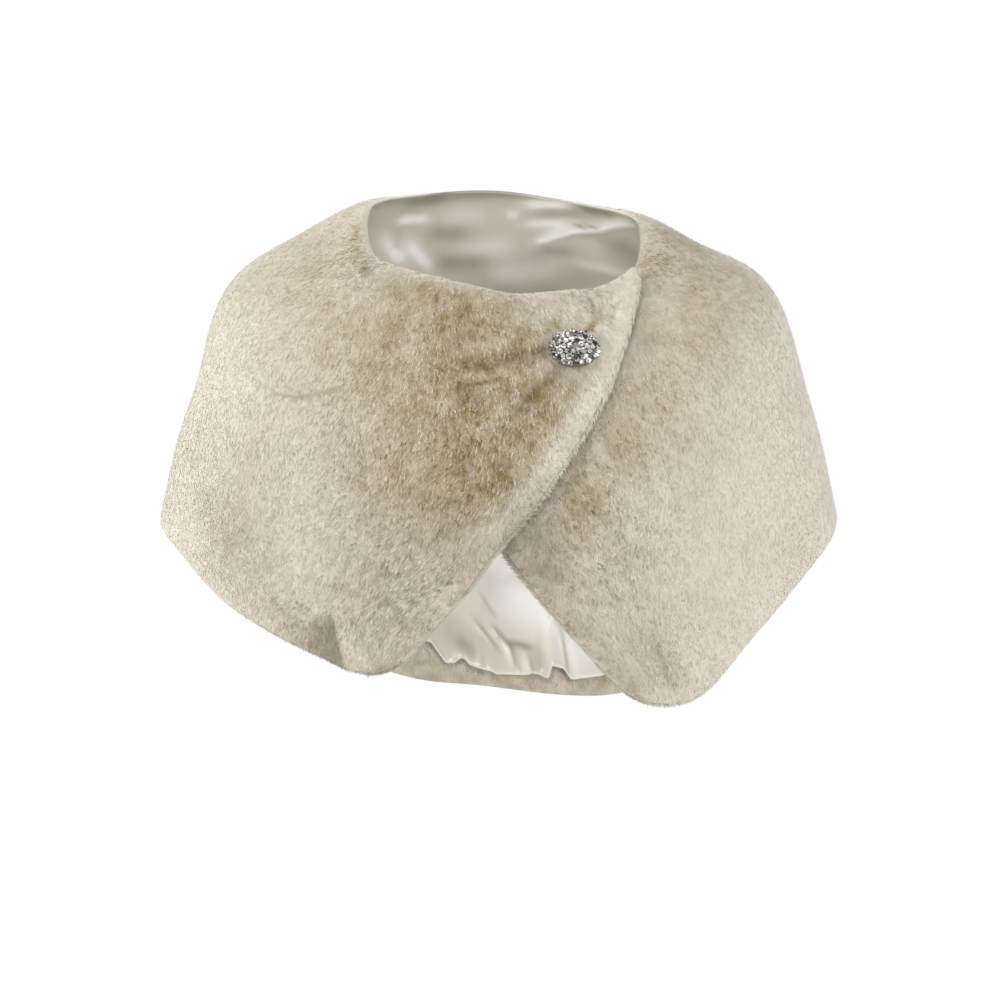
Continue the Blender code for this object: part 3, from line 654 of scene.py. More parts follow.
def wrap_lift(azimuth, share):
    """How far the front above stands off the form to clear the front beneath."""
    full = under_edge(share) - WRAP_MARGIN
    return WRAP_LIFT * ramp(azimuth, full - WRAP_RAMP, full)


def no_lift(azimuth, share):
    return np.zeros_like(share)


def shell(azimuth, share, offset):
    """Points of the folded form, moved outwards by offset."""
    distance = fold_height(FOLDS, azimuth, share) + offset
    return bare_form(azimuth, share) + outward(azimuth, share) * np.asarray(distance)[..., None]


def corner_rise(azimuth, edge, radius, border, nearby):
    """Share by which a round corner at a front edge moves the neck edge (border 0) or the hem (border 1)."""
    rim = bare_form(azimuth, np.full_like(azimuth, border))
    reach = np.hypot(rim[:, 0], rim[:, 1])
    inside = np.minimum(np.radians(np.abs(azimuth - edge)) * reach, radius)
    rise = radius - np.sqrt(radius**2 - (radius - inside) ** 2)
    inner = bare_form(azimuth, np.full_like(azimuth, nearby))
    return rise * abs(border - nearby) / np.linalg.norm(rim - inner, axis=-1)


def near_chain(points, chain):
    """Distance from points in space to a chain of straight steps, and the share of the way along it."""
    closest = np.full(points.shape[:-1], np.inf)
    along = np.zeros(points.shape[:-1])
    for n, (start, run) in enumerate(zip(chain[:-1], np.diff(chain, axis=0))):
        away = points - start
        t = np.clip((away @ run) / (run @ run), 0, 1)
        distance = np.linalg.norm(away - t[..., None] * run, axis=-1)
        along = np.where(distance < closest, (n + t) / (len(chain) - 1), along)
        closest = np.minimum(closest, distance)
    return closest, along


Panel = namedtuple("Panel", "azimuth share lift inner normal")


def panel_between(first, last, neck_share, hem_share, rows, lift):
    """A panel's grid on its inner face, between the azimuths of its first and last edges."""
    down = np.linspace(0, 1, rows)
    across = np.linspace(0, 1, len(hem_share))
    share = neck_share + down[:, None] * (hem_share - neck_share)
    azimuth = first(share) + (last(share) - first(share)) * across[None, :]
    raised = lift(azimuth, share)
    return Panel(azimuth, share, raised, shell(azimuth, share, raised), outward(azimuth, share))


def lowered(drops, azimuth):
    """Share by which an edge hangs lower."""
    return sum(drop.share * bell(azimuth - drop.azimuth, drop.width) for drop in drops)


def fixed(azimuth):
    return lambda share: np.full_like(share, azimuth)


def front_panel(edge_at, seam, grid, corner, drops, lift):
    """A front's panel, between its side seam and its edge, with round corners at the neck and the hem."""
    columns, rows = grid
    top = float(edge_at(0.0))
    azimuth = np.linspace(*sorted((seam, top)), columns)
    neck = corner_rise(azimuth, top, NECK_CORNER, 0.0, STATION_SHARES[1]) + lowered(drops, azimuth)
    end = float(edge_at(1.0))
    azimuth = np.linspace(*sorted((seam, end)), columns)
    hem = 1 - corner_rise(azimuth, end, corner, 1.0, STATION_SHARES[-2])
    first, last = (fixed(seam), edge_at) if seam < top else (edge_at, fixed(seam))
    return panel_between(first, last, neck, hem, rows, lift)


def back_panel():
    columns, rows = BACK_GRID
    azimuth = np.linspace(SIDE_SEAM, 360 - SIDE_SEAM, columns)
    hem = 1 + lowered(HEM_DROPS, azimuth)
    return panel_between(fixed(SIDE_SEAM), fixed(360 - SIDE_SEAM), np.zeros(columns), hem, rows, no_lift)


def read(grid, rows, columns):
    """Values of a grid between its points, at fractional rows and columns, which may pass its ends."""
    row = np.clip(rows.astype(int), 0, grid.shape[0] - 2)
    column = np.clip(columns.astype(int), 0, grid.shape[1] - 2)
    more_axes = (1,) * (grid.ndim - 2)
    u = (rows - row).reshape(rows.shape + more_axes)
    v = (columns - column).reshape(columns.shape + more_axes)
    upper = grid[row, column] * (1 - v) + grid[row, column + 1] * v
    lower = grid[row + 1, column] * (1 - v) + grid[row + 1, column + 1] * v
    return upper * (1 - u) + lower * u


# Meshes from arrays


def new_piece(name, points, faces, material):
    """An object whose faces, all with the same number of corners, come from arrays."""
    mesh = bpy.data.meshes.new(name)
    faces = np.asarray(faces, np.int32)
    mesh.vertices.add(len(points))
    mesh.vertices.foreach_set("co", np.ascontiguousarray(points, np.float32).ravel())
    mesh.loops.add(faces.size)
    mesh.loops.foreach_set("vertex_index", faces.ravel())
    mesh.polygons.add(len(faces))
    mesh.polygons.foreach_set("loop_start", np.arange(len(faces), dtype=np.int32) * faces.shape[1])
    mesh.update(calc_edges=True)
    mesh.shade_smooth()
    mesh.materials.append(material)
    made = bpy.data.objects.new(name, mesh)
    bpy.context.scene.collection.objects.link(made)
    return made


def paint(piece, name, values):
    """Stores numbers from 0 to 1 at each vertex, for the piece's material."""
    attribute = piece.data.attributes.new(name, "FLOAT_COLOR", "POINT")
    filled = np.ones((len(values), 4), np.float32)
    filled[:, : values.shape[1]] = values
    attribute.data.foreach_set("color", filled.ravel())


def sheet_of(name, inner, outer, material):
    """A closed thin sheet between two grids of points; rows run down and columns towards +azimuth."""
    rows, columns = inner.shape[:2]
    number = np.arange(rows * columns).reshape(rows, columns)
    behind = rows * columns
    quads = [number[:-1, :-1], number[1:, :-1], number[1:, 1:], number[:-1, 1:]]
    front = np.stack(quads, axis=-1).reshape(-1, 4)
    border = np.concatenate([number[:-1, 0], number[-1, :-1], number[:0:-1, -1], number[0, :0:-1]])
    after = np.roll(border, -1)
    rim = np.stack([after, border, border + behind, after + behind], axis=-1)
    faces = np.concatenate([front, front[:, ::-1] + behind, rim])
    points = np.concatenate([outer.reshape(-1, 3), inner.reshape(-1, 3)])
    return new_piece(name, points, faces, material)


# Materials


def empty_material(name):
    material = bpy.data.materials.new(name)
    material.use_nodes = True
    tree = material.node_tree
    return material, tree, tree.nodes["Principled BSDF"]


def add(tree, kind, **values):
    """A new node with some of its inputs or settings set."""
    node = tree.nodes.new(kind)
    for key, value in values.items():
        if key in node.inputs:
            node.inputs[key].default_value = value
        else:
            setattr(node, key, value)
    return node


def set_inputs(node, values):
    for name, value in values.items():
        node.inputs[name].default_value = value


def link(source, socket):
    """Joins a node's output to an input of the same tree."""
    socket.id_data.links.new(source, socket)


def colour_ramp(tree, source, stops):
    node = add(tree, "ShaderNodeValToRGB")
    elements = node.color_ramp.elements
    while len(elements) < len(stops):
        elements.new(0.5)
    for element, (place, colour) in zip(elements, stops):
        element.position = place
        element.color = (*colour, 1)
    link(source, node.inputs["Fac"])
    return node.outputs["Color"]


def mixed(tree, factor, first, second):
    node = add(tree, "ShaderNodeMix", data_type="RGBA")
    link(factor, node.inputs["Factor"])
    link(first, node.inputs["A"])
    link(second, node.inputs["B"])
    return node.outputs["Result"]


def mapped(tree, source, low, high):
    """A number from 0 to 1 moved to a range."""
    node = add(tree, "ShaderNodeMapRange")
    set_inputs(node, {"To Min": low, "To Max": high})
    link(source, node.inputs["Value"])
    return node.outputs["Result"]


def scaled(tree, colour, amount):
    node = add(tree, "ShaderNodeVectorMath", operation="SCALE")
    link(colour, node.inputs[0])
    link(amount, node.inputs["Scale"])
    return node.outputs["Vector"]


def noise_node(tree, scale, detail=2.0):
    place = add(tree, "ShaderNodeTexCoord")
    node = add(tree, "ShaderNodeTexNoise", Scale=scale, Detail=detail)
    link(place.outputs["Object"], node.inputs["Vector"])
    return node.outputs["Fac"]


def pile_colour(tree, along, tint, patch):
    """Tan at the root and cream at the tip of a strand, more tan in patches."""
    places = (0.0, 0.5, 1.0)
    cream = colour_ramp(tree, along, tuple(zip(places, CREAM)))
    tan = colour_ramp(tree, along, tuple(zip(places, TAN)))
    return scaled(tree, mixed(tree, patch, cream, tan), mapped(tree, tint, 0.55, 1.40))


def stored_numbers(tree, name):
    """The three numbers that a painted attribute holds."""
    stored = add(tree, "ShaderNodeAttribute", attribute_name=name)
    split = add(tree, "ShaderNodeSeparateColor")
    link(stored.outputs["Color"], split.inputs["Color"])
    return [split.outputs[channel] for channel in ("Red", "Green", "Blue")]


def soft_as_fur(shader):
    values = {"Roughness": 0.8, "Specular IOR Level": 0.15, "Sheen Weight": 0.3, "Sheen Roughness": 0.45}
    set_inputs(shader, values)


def pile_material():
    """Fur strands. The attribute holds the place along the strand, its tint, darker where shade is painted,
    and how tan it is.
    """
    material, tree, shader = empty_material("pile")
    along, tint, patch = stored_numbers(tree, "pile")
    link(pile_colour(tree, along, tint, patch), shader.inputs["Base Color"])
    soft_as_fur(shader)
    return material


def body_material():
    """The dense pile below the tips, with fine strokes along the nap where it is ruffled."""
    material, tree, shader = empty_material("pile_body")
    along, ruffle, patch = stored_numbers(tree, "pile")
    nap = add(tree, "ShaderNodeAttribute", attribute_name="nap")
    strokes = add(tree, "ShaderNodeTexNoise", Scale=1.0, Detail=2.0)
    link(nap.outputs["Vector"], strokes.inputs["Vector"])
    contrast = add(tree, "ShaderNodeMapRange")
    link(strokes.outputs["Fac"], contrast.inputs["Value"])
    link(mapped(tree, ruffle, 0.45, 0.12), contrast.inputs["To Min"])
    link(mapped(tree, ruffle, 0.57, 0.86), contrast.inputs["To Max"])
    tint = contrast.outputs["Result"]
    link(pile_colour(tree, along, tint, patch), shader.inputs["Base Color"])
    bump = add(tree, "ShaderNodeBump", Distance=0.0009)
    link(mapped(tree, ruffle, 0.06, 0.70), bump.inputs["Strength"])
    link(strokes.outputs["Fac"], bump.inputs["Height"])
    link(bump.outputs["Normal"], shader.inputs["Normal"])
    soft_as_fur(shader)
    return material


def setting_material():
    """Antique silver: dark in the recesses and bright on the beads. The attribute holds the height."""
    material, tree, shader = empty_material("antique_silver")
    height, _, _ = stored_numbers(tree, "height")
    stops = ((0.0, (0.06, 0.058, 0.05)), (0.5, (0.32, 0.31, 0.28)), (1.0, (0.82, 0.80, 0.75)))
    colour = scaled(tree, colour_ramp(tree, height, stops), mapped(tree, noise_node(tree, 900.0), 0.7, 1.25))
    link(colour, shader.inputs["Base Color"])
    shader.inputs["Metallic"].default_value = 1.0
    link(mapped(tree, noise_node(tree, 500.0), 0.18, 0.42), shader.inputs["Roughness"])
    return material


def stone_material():
    """Foil-backed cut stones: each facet is painted dark or bright as its attribute says, a painted glint
    that stands in for what it reflects, over real gloss.
    """
    material, tree, shader = empty_material("cut_stones")
    painted_glint, _, _ = stored_numbers(tree, "painted_glint")
    stops = (
        (0.0, (0.03, 0.029, 0.026)),
        (0.20, (0.10, 0.097, 0.086)),
        (0.34, (0.42, 0.405, 0.36)),
        (0.54, (0.60, 0.585, 0.545)),
        (0.62, (0.96, 0.95, 0.91)),
        (1.0, (1.0, 1.0, 0.98)),
    )
    link(colour_ramp(tree, painted_glint, stops), shader.inputs["Base Color"])
    set_inputs(shader, {"Metallic": 0.7, "Roughness": 0.10, "Coat Weight": 0.6, "Coat Roughness": 0.03})
    return material


def satin_material():
    """Ivory satin: a gloss over a fine weave. The attribute holds its painted highlights and shade, from 0
    to 1.
    """
    material, tree, shader = empty_material("satin")
    light, _, _ = stored_numbers(tree, "light")
    stops = ((0.0, (0.26, 0.245, 0.19)), (0.5, (0.61, 0.585, 0.495)), (1.0, (0.96, 0.95, 0.91)))
    colour = scaled(tree, colour_ramp(tree, light, stops), mapped(tree, noise_node(tree, 30.0), 0.95, 1.05))
    link(colour, shader.inputs["Base Color"])
    soft = add(tree, "ShaderNodeBump", Strength=0.3, Distance=0.004)
    link(noise_node(tree, 28.0, 1.0), soft.inputs["Height"])
    fine = add(tree, "ShaderNodeBump", Strength=0.10, Distance=0.0002)
    link(noise_node(tree, 1400.0), fine.inputs["Height"])
    link(soft.outputs["Normal"], fine.inputs["Normal"])
    link(fine.outputs["Normal"], shader.inputs["Normal"])
    set_inputs(shader, {"Metallic": 0.40, "Roughness": 0.38, "Specular IOR Level": 0.7})
    return material


# The pile

# across and down: where the pile points; shade: painted shade; keep: where strands grow; side: 1 outside, -1
# inside the cloth; edge: 1 where the last column is a front edge, -1 where the first one is; tone: a darker
# tint, painted shade
Coat = namedtuple(
    "Coat", "panel depth across down patch ruffle shade keep side edge tone", defaults=(0, 0.0)
)


def border_gaps(panel, edge=0):
    """Distances of a panel's points from its neck edge, its hem and, on a front, its front edge."""
    lines = [panel.inner[0], panel.inner[-1]]
    if edge:
        lines.append(panel.inner[:, -1 if edge > 0 else 0])
    return [near_chain(panel.inner, line)[0] for line in lines]


def rolled(full, gaps, rolls=(NECK_ROLL, EDGE_ROLL, EDGE_ROLL)):
    """Depth of the pile: full inside, rolling down to the rim over some width beside each edge."""
    inward = [1 - np.clip(gap / width, 0, 1) for gap, width in zip(gaps, rolls)]
    return PILE_RIM + (full - PILE_RIM) * np.sqrt(1 - np.max(inward, axis=0) ** 2)


def spread(patches, panel):
    """The strongest of some patches at each point of a panel."""
    strength = np.zeros(panel.share.shape)
    for patch in patches:
        across, down = steps_on_form(np.array(float(patch.azimuth)), np.array(patch.share))
        turn = turn_between(patch.azimuth, panel.azimuth)
        x = turn * np.linalg.norm(across) / patch.width
        y = (panel.share - patch.share) * np.linalg.norm(down) / patch.length
        strength = np.maximum(strength, patch.strength * np.exp(-(x * x + y * y)))
    return strength


def streaks(lines, panel):
    """The strongest of some streaks at each point of a panel."""
    strength = np.zeros(panel.share.shape)
    for streak in lines:
        distance, _ = near_line(streak, panel.azimuth, panel.share)
        strength = np.maximum(strength, streak.strength * bell(distance, streak.width))
    return strength


def patch_strength(panel):
    """How tan the pile is at each point of a panel."""
    mottle = 1 + layered(panel.inner, MOTTLE)
    haze = HAZE_LEVEL + layered(panel.inner, HAZE)
    return np.clip(np.maximum(spread(PATCHES, panel), streaks(STREAKS, panel)) * mottle + haze, 0, 1)


def painted_shade(panel):
    """How much shade is painted into the pile: softly along lines and in patches, and beside the sharp sides
    of its troughs.
    """
    shade = np.maximum(streaks(SHADES, panel), spread(GREY_AND_SHADE_PATCHES, panel))
    shade = shade * (1 + layered(panel.inner, SHADE_MOTTLE))
    for hollow_shade in HOLLOW_SHADES:
        run = (panel.share - hollow_shade.share) / (hollow_shade.to_share - hollow_shade.share)
        line = hollow_shade.azimuth + (hollow_shade.to_azimuth - hollow_shade.azimuth) * np.clip(run, 0, HOLLOW_LINE_END)
        away = hollow_shade.side * (panel.azimuth - line) * METRES_PER_DEGREE
        grown = np.clip(run, HOLLOW_START, 1) * hollow_shade.width
        beside = ramp(away, -HOLLOW_EDGE, HOLLOW_EDGE) * bell(np.maximum(away, 0), grown)
        ends = ramp(run, 0, HOLLOW_RISE) * (1 - ramp(run, *HOLLOW_FADE))
        shade = np.maximum(shade, hollow_shade.strength * ends * beside)
    return np.clip(shade, 0, DEEPEST_SHADE)


def ruffles(panel):
    """How ruffled the pile is at each point of a panel."""
    return SMOOTH + (1 - SMOOTH) * spread(RUFFLES, panel)


# the pile's tan, how ruffled it is, and its painted shade
def colours(panel):
    return patch_strength(panel), ruffles(panel), painted_shade(panel)


def press_for_brooch(points):
    """How far fur points are pushed in under the brooch."""
    centre, across, up, normal = brooch_place()
    away = points - centre
    size = np.hypot(away @ across / (BROOCH_WIDTH / 2), away @ up / (BROOCH_HEIGHT / 2))
    return np.maximum(away @ normal + GAP, 0) * (1 - ramp(size, *BROOCH_DIMPLE))


def turned_out(gap):
    """How much the pile beside a front edge turns out over it."""
    return EDGE_OUT * (1 - ramp(gap, 0, EDGE_TURN))


def fallen(neck_gap, side):
    """How far the pile lies downwards: less beside a front edge, and up over the edge at the neck."""
    return (1 - EDGE_FALL * side) * (1 - NECK_RISE * (1 - ramp(neck_gap, 0, NECK_TURN)))


def right_front_coat():
    """The pile of the front that lies above, on the wearer's right."""
    panel = front_panel(over_edge, -SIDE_SEAM, RIGHT_GRID, OVER_CORNER, NECK_DROPS, wrap_lift)
    gaps = border_gaps(panel, 1)
    neck_gap, hem_gap, edge_gap = gaps
    depth = rolled(PILE, gaps) + fold_height(PULLS, panel.azimuth, panel.share)
    depth = depth - press_for_brooch(panel.inner + depth[..., None] * panel.normal)
    side = turned_out(edge_gap)
    keep = (edge_gap > ROOT_INSET_EDGE) & (hem_gap > ROOT_INSET_HEM)
    beside = 1 - ramp(edge_gap, *EDGE_LIGHT)
    patch, ruffle, shade = colours(panel)
    # painted light, partly paler pile: the band beside the edge above loses tan
    patch = patch * (1 - EDGE_FADE * beside * (1 - ramp(panel.share, *EDGE_LIGHT_END)))
    ruffle = np.maximum(ruffle, EDGE_RUFFLE * beside * ramp(panel.share, *EDGE_RUFFLE_START))
    return Coat(panel, depth, side, fallen(neck_gap, side), patch, ruffle, shade, keep, 1, 1)


def left_front_coat():
    """The pile of the front that lies beneath, on the wearer's left."""
    panel = front_panel(under_edge, SIDE_SEAM, LEFT_GRID, UNDER_CORNER, (), no_lift)
    gaps = border_gaps(panel, -1)
    neck_gap, hem_gap, edge_gap = gaps
    beside = over_edge(panel.share) + UNCOVER_START
    uncovered = ramp(panel.azimuth, beside, beside + UNCOVER_RAMP)
    depth = rolled(between((COVERED_PILE, PILE), uncovered), gaps)
    side = turned_out(edge_gap)
    keep = (edge_gap > ROOT_INSET_EDGE) & (hem_gap > ROOT_INSET_HEM)
    keep &= panel.azimuth > over_edge(panel.share) - COVERED_REACH
    return Coat(panel, depth, -side, fallen(neck_gap, side), *colours(panel), keep, 1, -1)


def back_coat():
    panel = back_panel()
    gaps = border_gaps(panel)
    depth = rolled(PILE, gaps)
    keep = gaps[1] > ROOT_INSET_HEM
    still = np.zeros_like(depth)
    return Coat(panel, depth, still, still + 1, *colours(panel), keep, 1)


def scatter(coat, count, random):
    """Random places on a coat's grid, fewer towards the side seams, as fractional rows and columns."""
    inner = coat.panel.inner
    down = inner[1:, :-1] - inner[:-1, :-1]
    across = inner[:-1, 1:] - inner[:-1, :-1]
    area = np.linalg.norm(np.cross(down, across), axis=-1)
    thick = 1 - SIDE_THINNING * ramp(np.abs(coat.panel.azimuth[:-1, :-1]), SIDE_START, SIDE_SEAM)
    weight = (area * thick * coat.keep[:-1, :-1] * coat.keep[1:, 1:]).ravel()
    cells = random.choice(weight.size, size=count, p=weight / weight.sum())
    wide = area.shape[1]
    return cells // wide + random.random(count), cells % wide + random.random(count)


def grid_steps(coat):
    """Rows and columns for one metre across and for one metre down, at each point of a coat's grid."""
    panel = coat.panel
    across, down = steps_on_form(panel.azimuth, panel.share)
    turn_row, turn_column = np.gradient(panel.azimuth)
    share_row, share_column = np.gradient(panel.share)
    size = turn_row * share_column - turn_column * share_row
    per_turn = 1 / np.linalg.norm(across, axis=-1)
    per_share = 1 / np.linalg.norm(down, axis=-1)
    one_across = np.stack([share_column, -share_row], axis=-1) * (per_turn / size)[..., None]
    one_down = np.stack([-turn_column, turn_row], axis=-1) * (per_share / size)[..., None]
    return one_across, one_down


def nearest_tuft(points, tufts, nap):
    """For each point, the number of the closest tuft, when distances along the nap count for less."""
    tree = KDTree(len(tufts))
    for number, place in enumerate(tufts):
        tree.insert(place, number)
    tree.balance()
    near = np.array([[found[1] for found in tree.find_n(point, TUFT_CHOICES)] for point in points])
    away = points[:, None] - tufts[near]
    along = (away * nap[near]).sum(axis=-1)
    apart = (away**2).sum(axis=-1) - TUFT_STRETCH * along**2
    return near[np.arange(len(points)), apart.argmin(axis=1)]


def slants(coat, rows, columns):
    """How far the strands lie aslant, to the viewer's left and to the viewer's right."""
    return [read(spread(areas, coat.panel), rows, columns) for areas in (SLANTS_LEFT, SLANTS_RIGHT)]


def lean(points, slanted, seed):
    """Angle by which the nap turns away from straight down."""
    left, right = slanted
    return layered(points, NAP_LEAN, seed) + left - right


def nap_of(coat, rows, columns, seed):
    """Unit vectors along the nap."""
    panel = coat.panel
    across, down = steps_on_form(read(panel.azimuth, rows, columns), read(panel.share, rows, columns))
    turn = lean(read(panel.inner, rows, columns), slants(coat, rows, columns), seed)[:, None]
    return unit(down) * np.cos(turn) - unit(across) * np.sin(turn)


def parted(panel, rows, columns):
    """How much of the pile's height is lost at the parting lines, at fractional rows and columns."""
    azimuth = read(panel.azimuth, rows, columns)
    share = read(panel.share, rows, columns)
    loss = np.zeros(azimuth.shape)
    for line in PARTINGS:
        distance, along = near_line(line, azimuth, share)
        ends = ramp(np.minimum(along, 1 - along), *PARTING_ENDS)
        loss = np.maximum(loss, ends * bell(distance, line.width))
    return loss


def laid(coat, count, seed, random):
    """Places on a coat's grid of the roots, middles and tips of strands, and the tuft of each."""
    inner = coat.panel.inner
    rows, columns = scatter(coat, count, random)
    tuft_rows, tuft_columns = scatter(coat, count // STRANDS_PER_TUFT, random)
    tufts = len(tuft_rows)
    points = read(inner, rows, columns)
    nap = nap_of(coat, tuft_rows, tuft_columns, seed)
    tuft = nearest_tuft(points, read(inner, tuft_rows, tuft_columns), nap)
    ruffle = read(coat.ruffle, rows, columns)
    slanted = slants(coat, rows, columns)
    own = TUFT_SWING * random.normal(0, 1, tufts)[tuft] + STRAND_SWING * random.normal(0, 1, count)
    swing = lean(points, slanted, seed) + ruffle * own
    reach = STRAND_REACH * random.uniform(*REACHES, count)
    reach *= 1 + TUFT_REACH * random.normal(0, 1, tufts)[tuft]
    reach *= 1 + SLANT_GROWTH * sum(slanted)
    across = read(coat.across, rows, columns)
    down = read(coat.down, rows, columns)
    x = reach * (across * np.cos(swing) - down * np.sin(swing))
    y = reach * (down * np.cos(swing) + across * np.sin(swing))
    one_across, one_down = grid_steps(coat)
    step = read(one_across, rows, columns) * x[:, None] + read(one_down, rows, columns) * y[:, None]
    pull = (random.uniform(*TUFT_PULLS, tufts)[tuft] * between(LIVELY, ruffle))[:, None]
    to_tuft = np.stack([tuft_rows[tuft] - rows, tuft_columns[tuft] - columns], axis=-1)
    place = np.stack([rows, columns], axis=-1)
    middle = place + MIDDLE * step + MIDDLE_PULL * pull * to_tuft
    return place, middle, place + step + pull * to_tuft, tuft


def strands(coat, count, seed):
    """Corners of kite-shaped strands (left, root, right, tip), their normals and what the material reads."""
    random = np.random.default_rng(seed)
    panel = coat.panel
    place, middle_place, tip_place, tuft = laid(coat, count, seed, random)
    rows, columns = place.T
    tufts = count // STRANDS_PER_TUFT
    ruffle = read(coat.ruffle, rows, columns)
    uneven = random.uniform(0, STRAND_UNEVEN, count) + TUFT_UNEVEN * random.normal(0, 1, tufts)[tuft]
    inset = between(BODY_INSET, ruffle)
    loss = np.maximum(parted(panel, *tip_place.T), parted(panel, *middle_place.T))
    below = inset * np.clip(ruffle * uneven, 0, LOWEST_TIP) + loss * 2 * PARTING_DEPTH
    root_depth = np.maximum(read(coat.depth, rows, columns) - inset - ROOT_SINK, GROUND / 2)
    middle_depth = np.maximum(read(coat.depth, *middle_place.T) - inset / 2 - below, GROUND)
    tip_depth = np.maximum(read(coat.depth, *tip_place.T) - below, GROUND)
    root_normal = unit(read(panel.normal, rows, columns)) * coat.side
    tip_normal = unit(read(panel.normal, *tip_place.T)) * coat.side
    root = read(panel.inner, rows, columns) + root_normal * root_depth[:, None]
    middle = read(panel.inner, *middle_place.T) + root_normal * middle_depth[:, None]
    tip = read(panel.inner, *tip_place.T) + tip_normal * tip_depth[:, None]
    run = unit(tip - root)
    wide = unit(np.cross(run, root_normal))
    roll = (between(ROLL, ruffle) * random.normal(0, 1, count))[:, None]
    wide = wide * np.cos(roll) + np.cross(run, wide) * np.sin(roll)
    wide *= (STRAND_WIDTH / 2 * random.uniform(*WIDTHS, count))[:, None]
    corners = np.stack([middle - wide, root, middle + wide, tip], axis=1)
    face = unit(np.cross(wide, run)) * np.sign((np.cross(wide, run) * root_normal).sum(axis=-1))[:, None]
    soft = unit(between((tip_normal, face), between(TILT, ruffle)[:, None]))
    normals = np.repeat(soft[:, None, :], 4, axis=1)
    speckle = STRAND_SPECKLE * random.normal(0, 1, count) + TUFT_SPECKLE * random.normal(0, 1, tufts)[tuft]
    speckle = np.clip(speckle, *SPECKLE_LIMITS)
    shade = read(coat.shade, rows, columns)
    # painted shade darkens the tint and adds tan: the coat's tone and its shade
    tint = TINT + coat.tone + ruffle * SPECKLE_TINT * speckle - PARTING_TINT * loss - SHADE_TINT * shade
    patch = read(coat.patch, rows, columns) * (1 - SPECKLE_TAN * speckle) + SHADE_TAN * shade
    return corners, normals, np.clip(tint, 0, 1), np.clip(patch, 0, 1), chart_of(panel, rows, columns)


def chart_of(panel, rows, columns):
    return np.stack([columns / panel.share.shape[1], rows / panel.share.shape[0]], axis=-1)


def rim_strands(coat, on_hem, length, seed):
    """Strands on the cut rim of a coat, along its hem or its front edge, in the same form as the others."""
    count = int(STRANDS_RIM * length)
    random = np.random.default_rng(seed)
    panel = coat.panel
    last_row = panel.share.shape[0] - 1
    last_column = panel.share.shape[1] - 1
    one_across, one_down = grid_steps(coat)
    if on_hem:
        rows = np.full(count, last_row - BODY_TRIM)
        columns = random.uniform(0, last_column, count)
        step = read(one_down, rows, columns)
        aside = read(one_across, rows, columns)
    else:
        rows = random.uniform(0, last_row - BODY_TRIM, count)
        columns = np.full(count, last_column - BODY_TRIM if coat.edge > 0 else BODY_TRIM)
        step = coat.edge * read(one_across, rows, columns)
        aside = read(one_down, rows, columns)
    place = np.stack([rows, columns], axis=-1)
    reach = RIM_REACH[0 if on_hem else 1] * random.uniform(*RIM_REACHES, count)[:, None]
    tip_place = place + reach * (step + random.normal(0, RIM_STRAY, count)[:, None] * aside)
    middle_place = between((place, tip_place), RIM_MIDDLE)
    level = random.random(count)
    inset = between(BODY_INSET, read(coat.ruffle, rows, columns))
    thick = np.maximum(read(coat.depth, rows, columns) - inset, GROUND)
    at_tip = np.maximum(read(coat.depth, *tip_place.T), PILE_RIM)
    normal = unit(read(panel.normal, rows, columns))
    root = read(panel.inner, rows, columns) + normal * (level * thick)[:, None]
    tip = read(panel.inner, *tip_place.T) + normal * (level * at_tip)[:, None]
    at_middle = between((thick, at_tip), RIM_MIDDLE_DEPTH)
    middle = read(panel.inner, *middle_place.T) + normal * (level * at_middle)[:, None]
    run = unit(tip - root)
    turn = (2 * level - RIM_TURN)[:, None]
    facing = unit(run + turn * normal)
    wide = unit(np.cross(run, facing)) * (STRAND_WIDTH / 2 * random.uniform(*RIM_WIDTHS, count))[:, None]
    corners = np.stack([middle - wide, root, middle + wide, tip], axis=1)
    soft = unit(RIM_RUN * run + np.sign(turn) * normal)
    normals = np.repeat(soft[:, None, :], 4, axis=1)
    # painted light on the rims, less the painted shade
    tint = RIM_LIT_TINT + RIM_SPECKLE * random.normal(0, 1, count) - SHADE_TINT * read(coat.shade, rows, columns)
    patch = np.clip(read(coat.patch, rows, columns), 0, 1)
    return corners, normals, np.clip(tint, 0, 1), patch, chart_of(panel, rows, columns)


# Places of a strand's corners along it, and aside from its middle in the colour chart
ALONG = np.array([0.55, 0.0, 0.55, 1.0])
ASIDE = np.array([-0.1, 0.0, 0.1, 0.0])


def strand_piece(name, made):
    """One joined mesh of strands, with a chart of cells in which equal colours lie on each other."""
    kept = np.linalg.norm(made[0][:, 3] - made[0][:, 1], axis=-1) < STRAND_LONGEST
    corners, normals, tint, patch, chart = (values[kept] for values in made)
    count = len(corners)
    piece = new_piece(name, corners.reshape(-1, 3), np.arange(4 * count).reshape(-1, 4), FUR)
    piece.data.normals_split_custom_set_from_vertices(normals.reshape(-1, 3))
    along = np.tile(ALONG, count)
    tint = np.repeat(tint, 4)
    paint(piece, "pile", np.stack([along, tint, np.repeat(patch, 4)], axis=-1))
    cell = np.repeat(np.floor(np.clip(chart, 0, 0.999) * CHART_CELLS), 4, axis=0)
    u = cell[:, 0] + between(CHART_ACROSS, tint) + np.tile(ASIDE, count)
    v = cell[:, 1] + between(CHART_DOWN, along)
    chart_layer = piece.data.uv_layers.new(name="OFBake")
    chart_layer.data.foreach_set("uv", (np.stack([u, v], axis=-1) / CHART_CELLS).astype(np.float32).ravel())
    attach(piece, "root")
    return piece


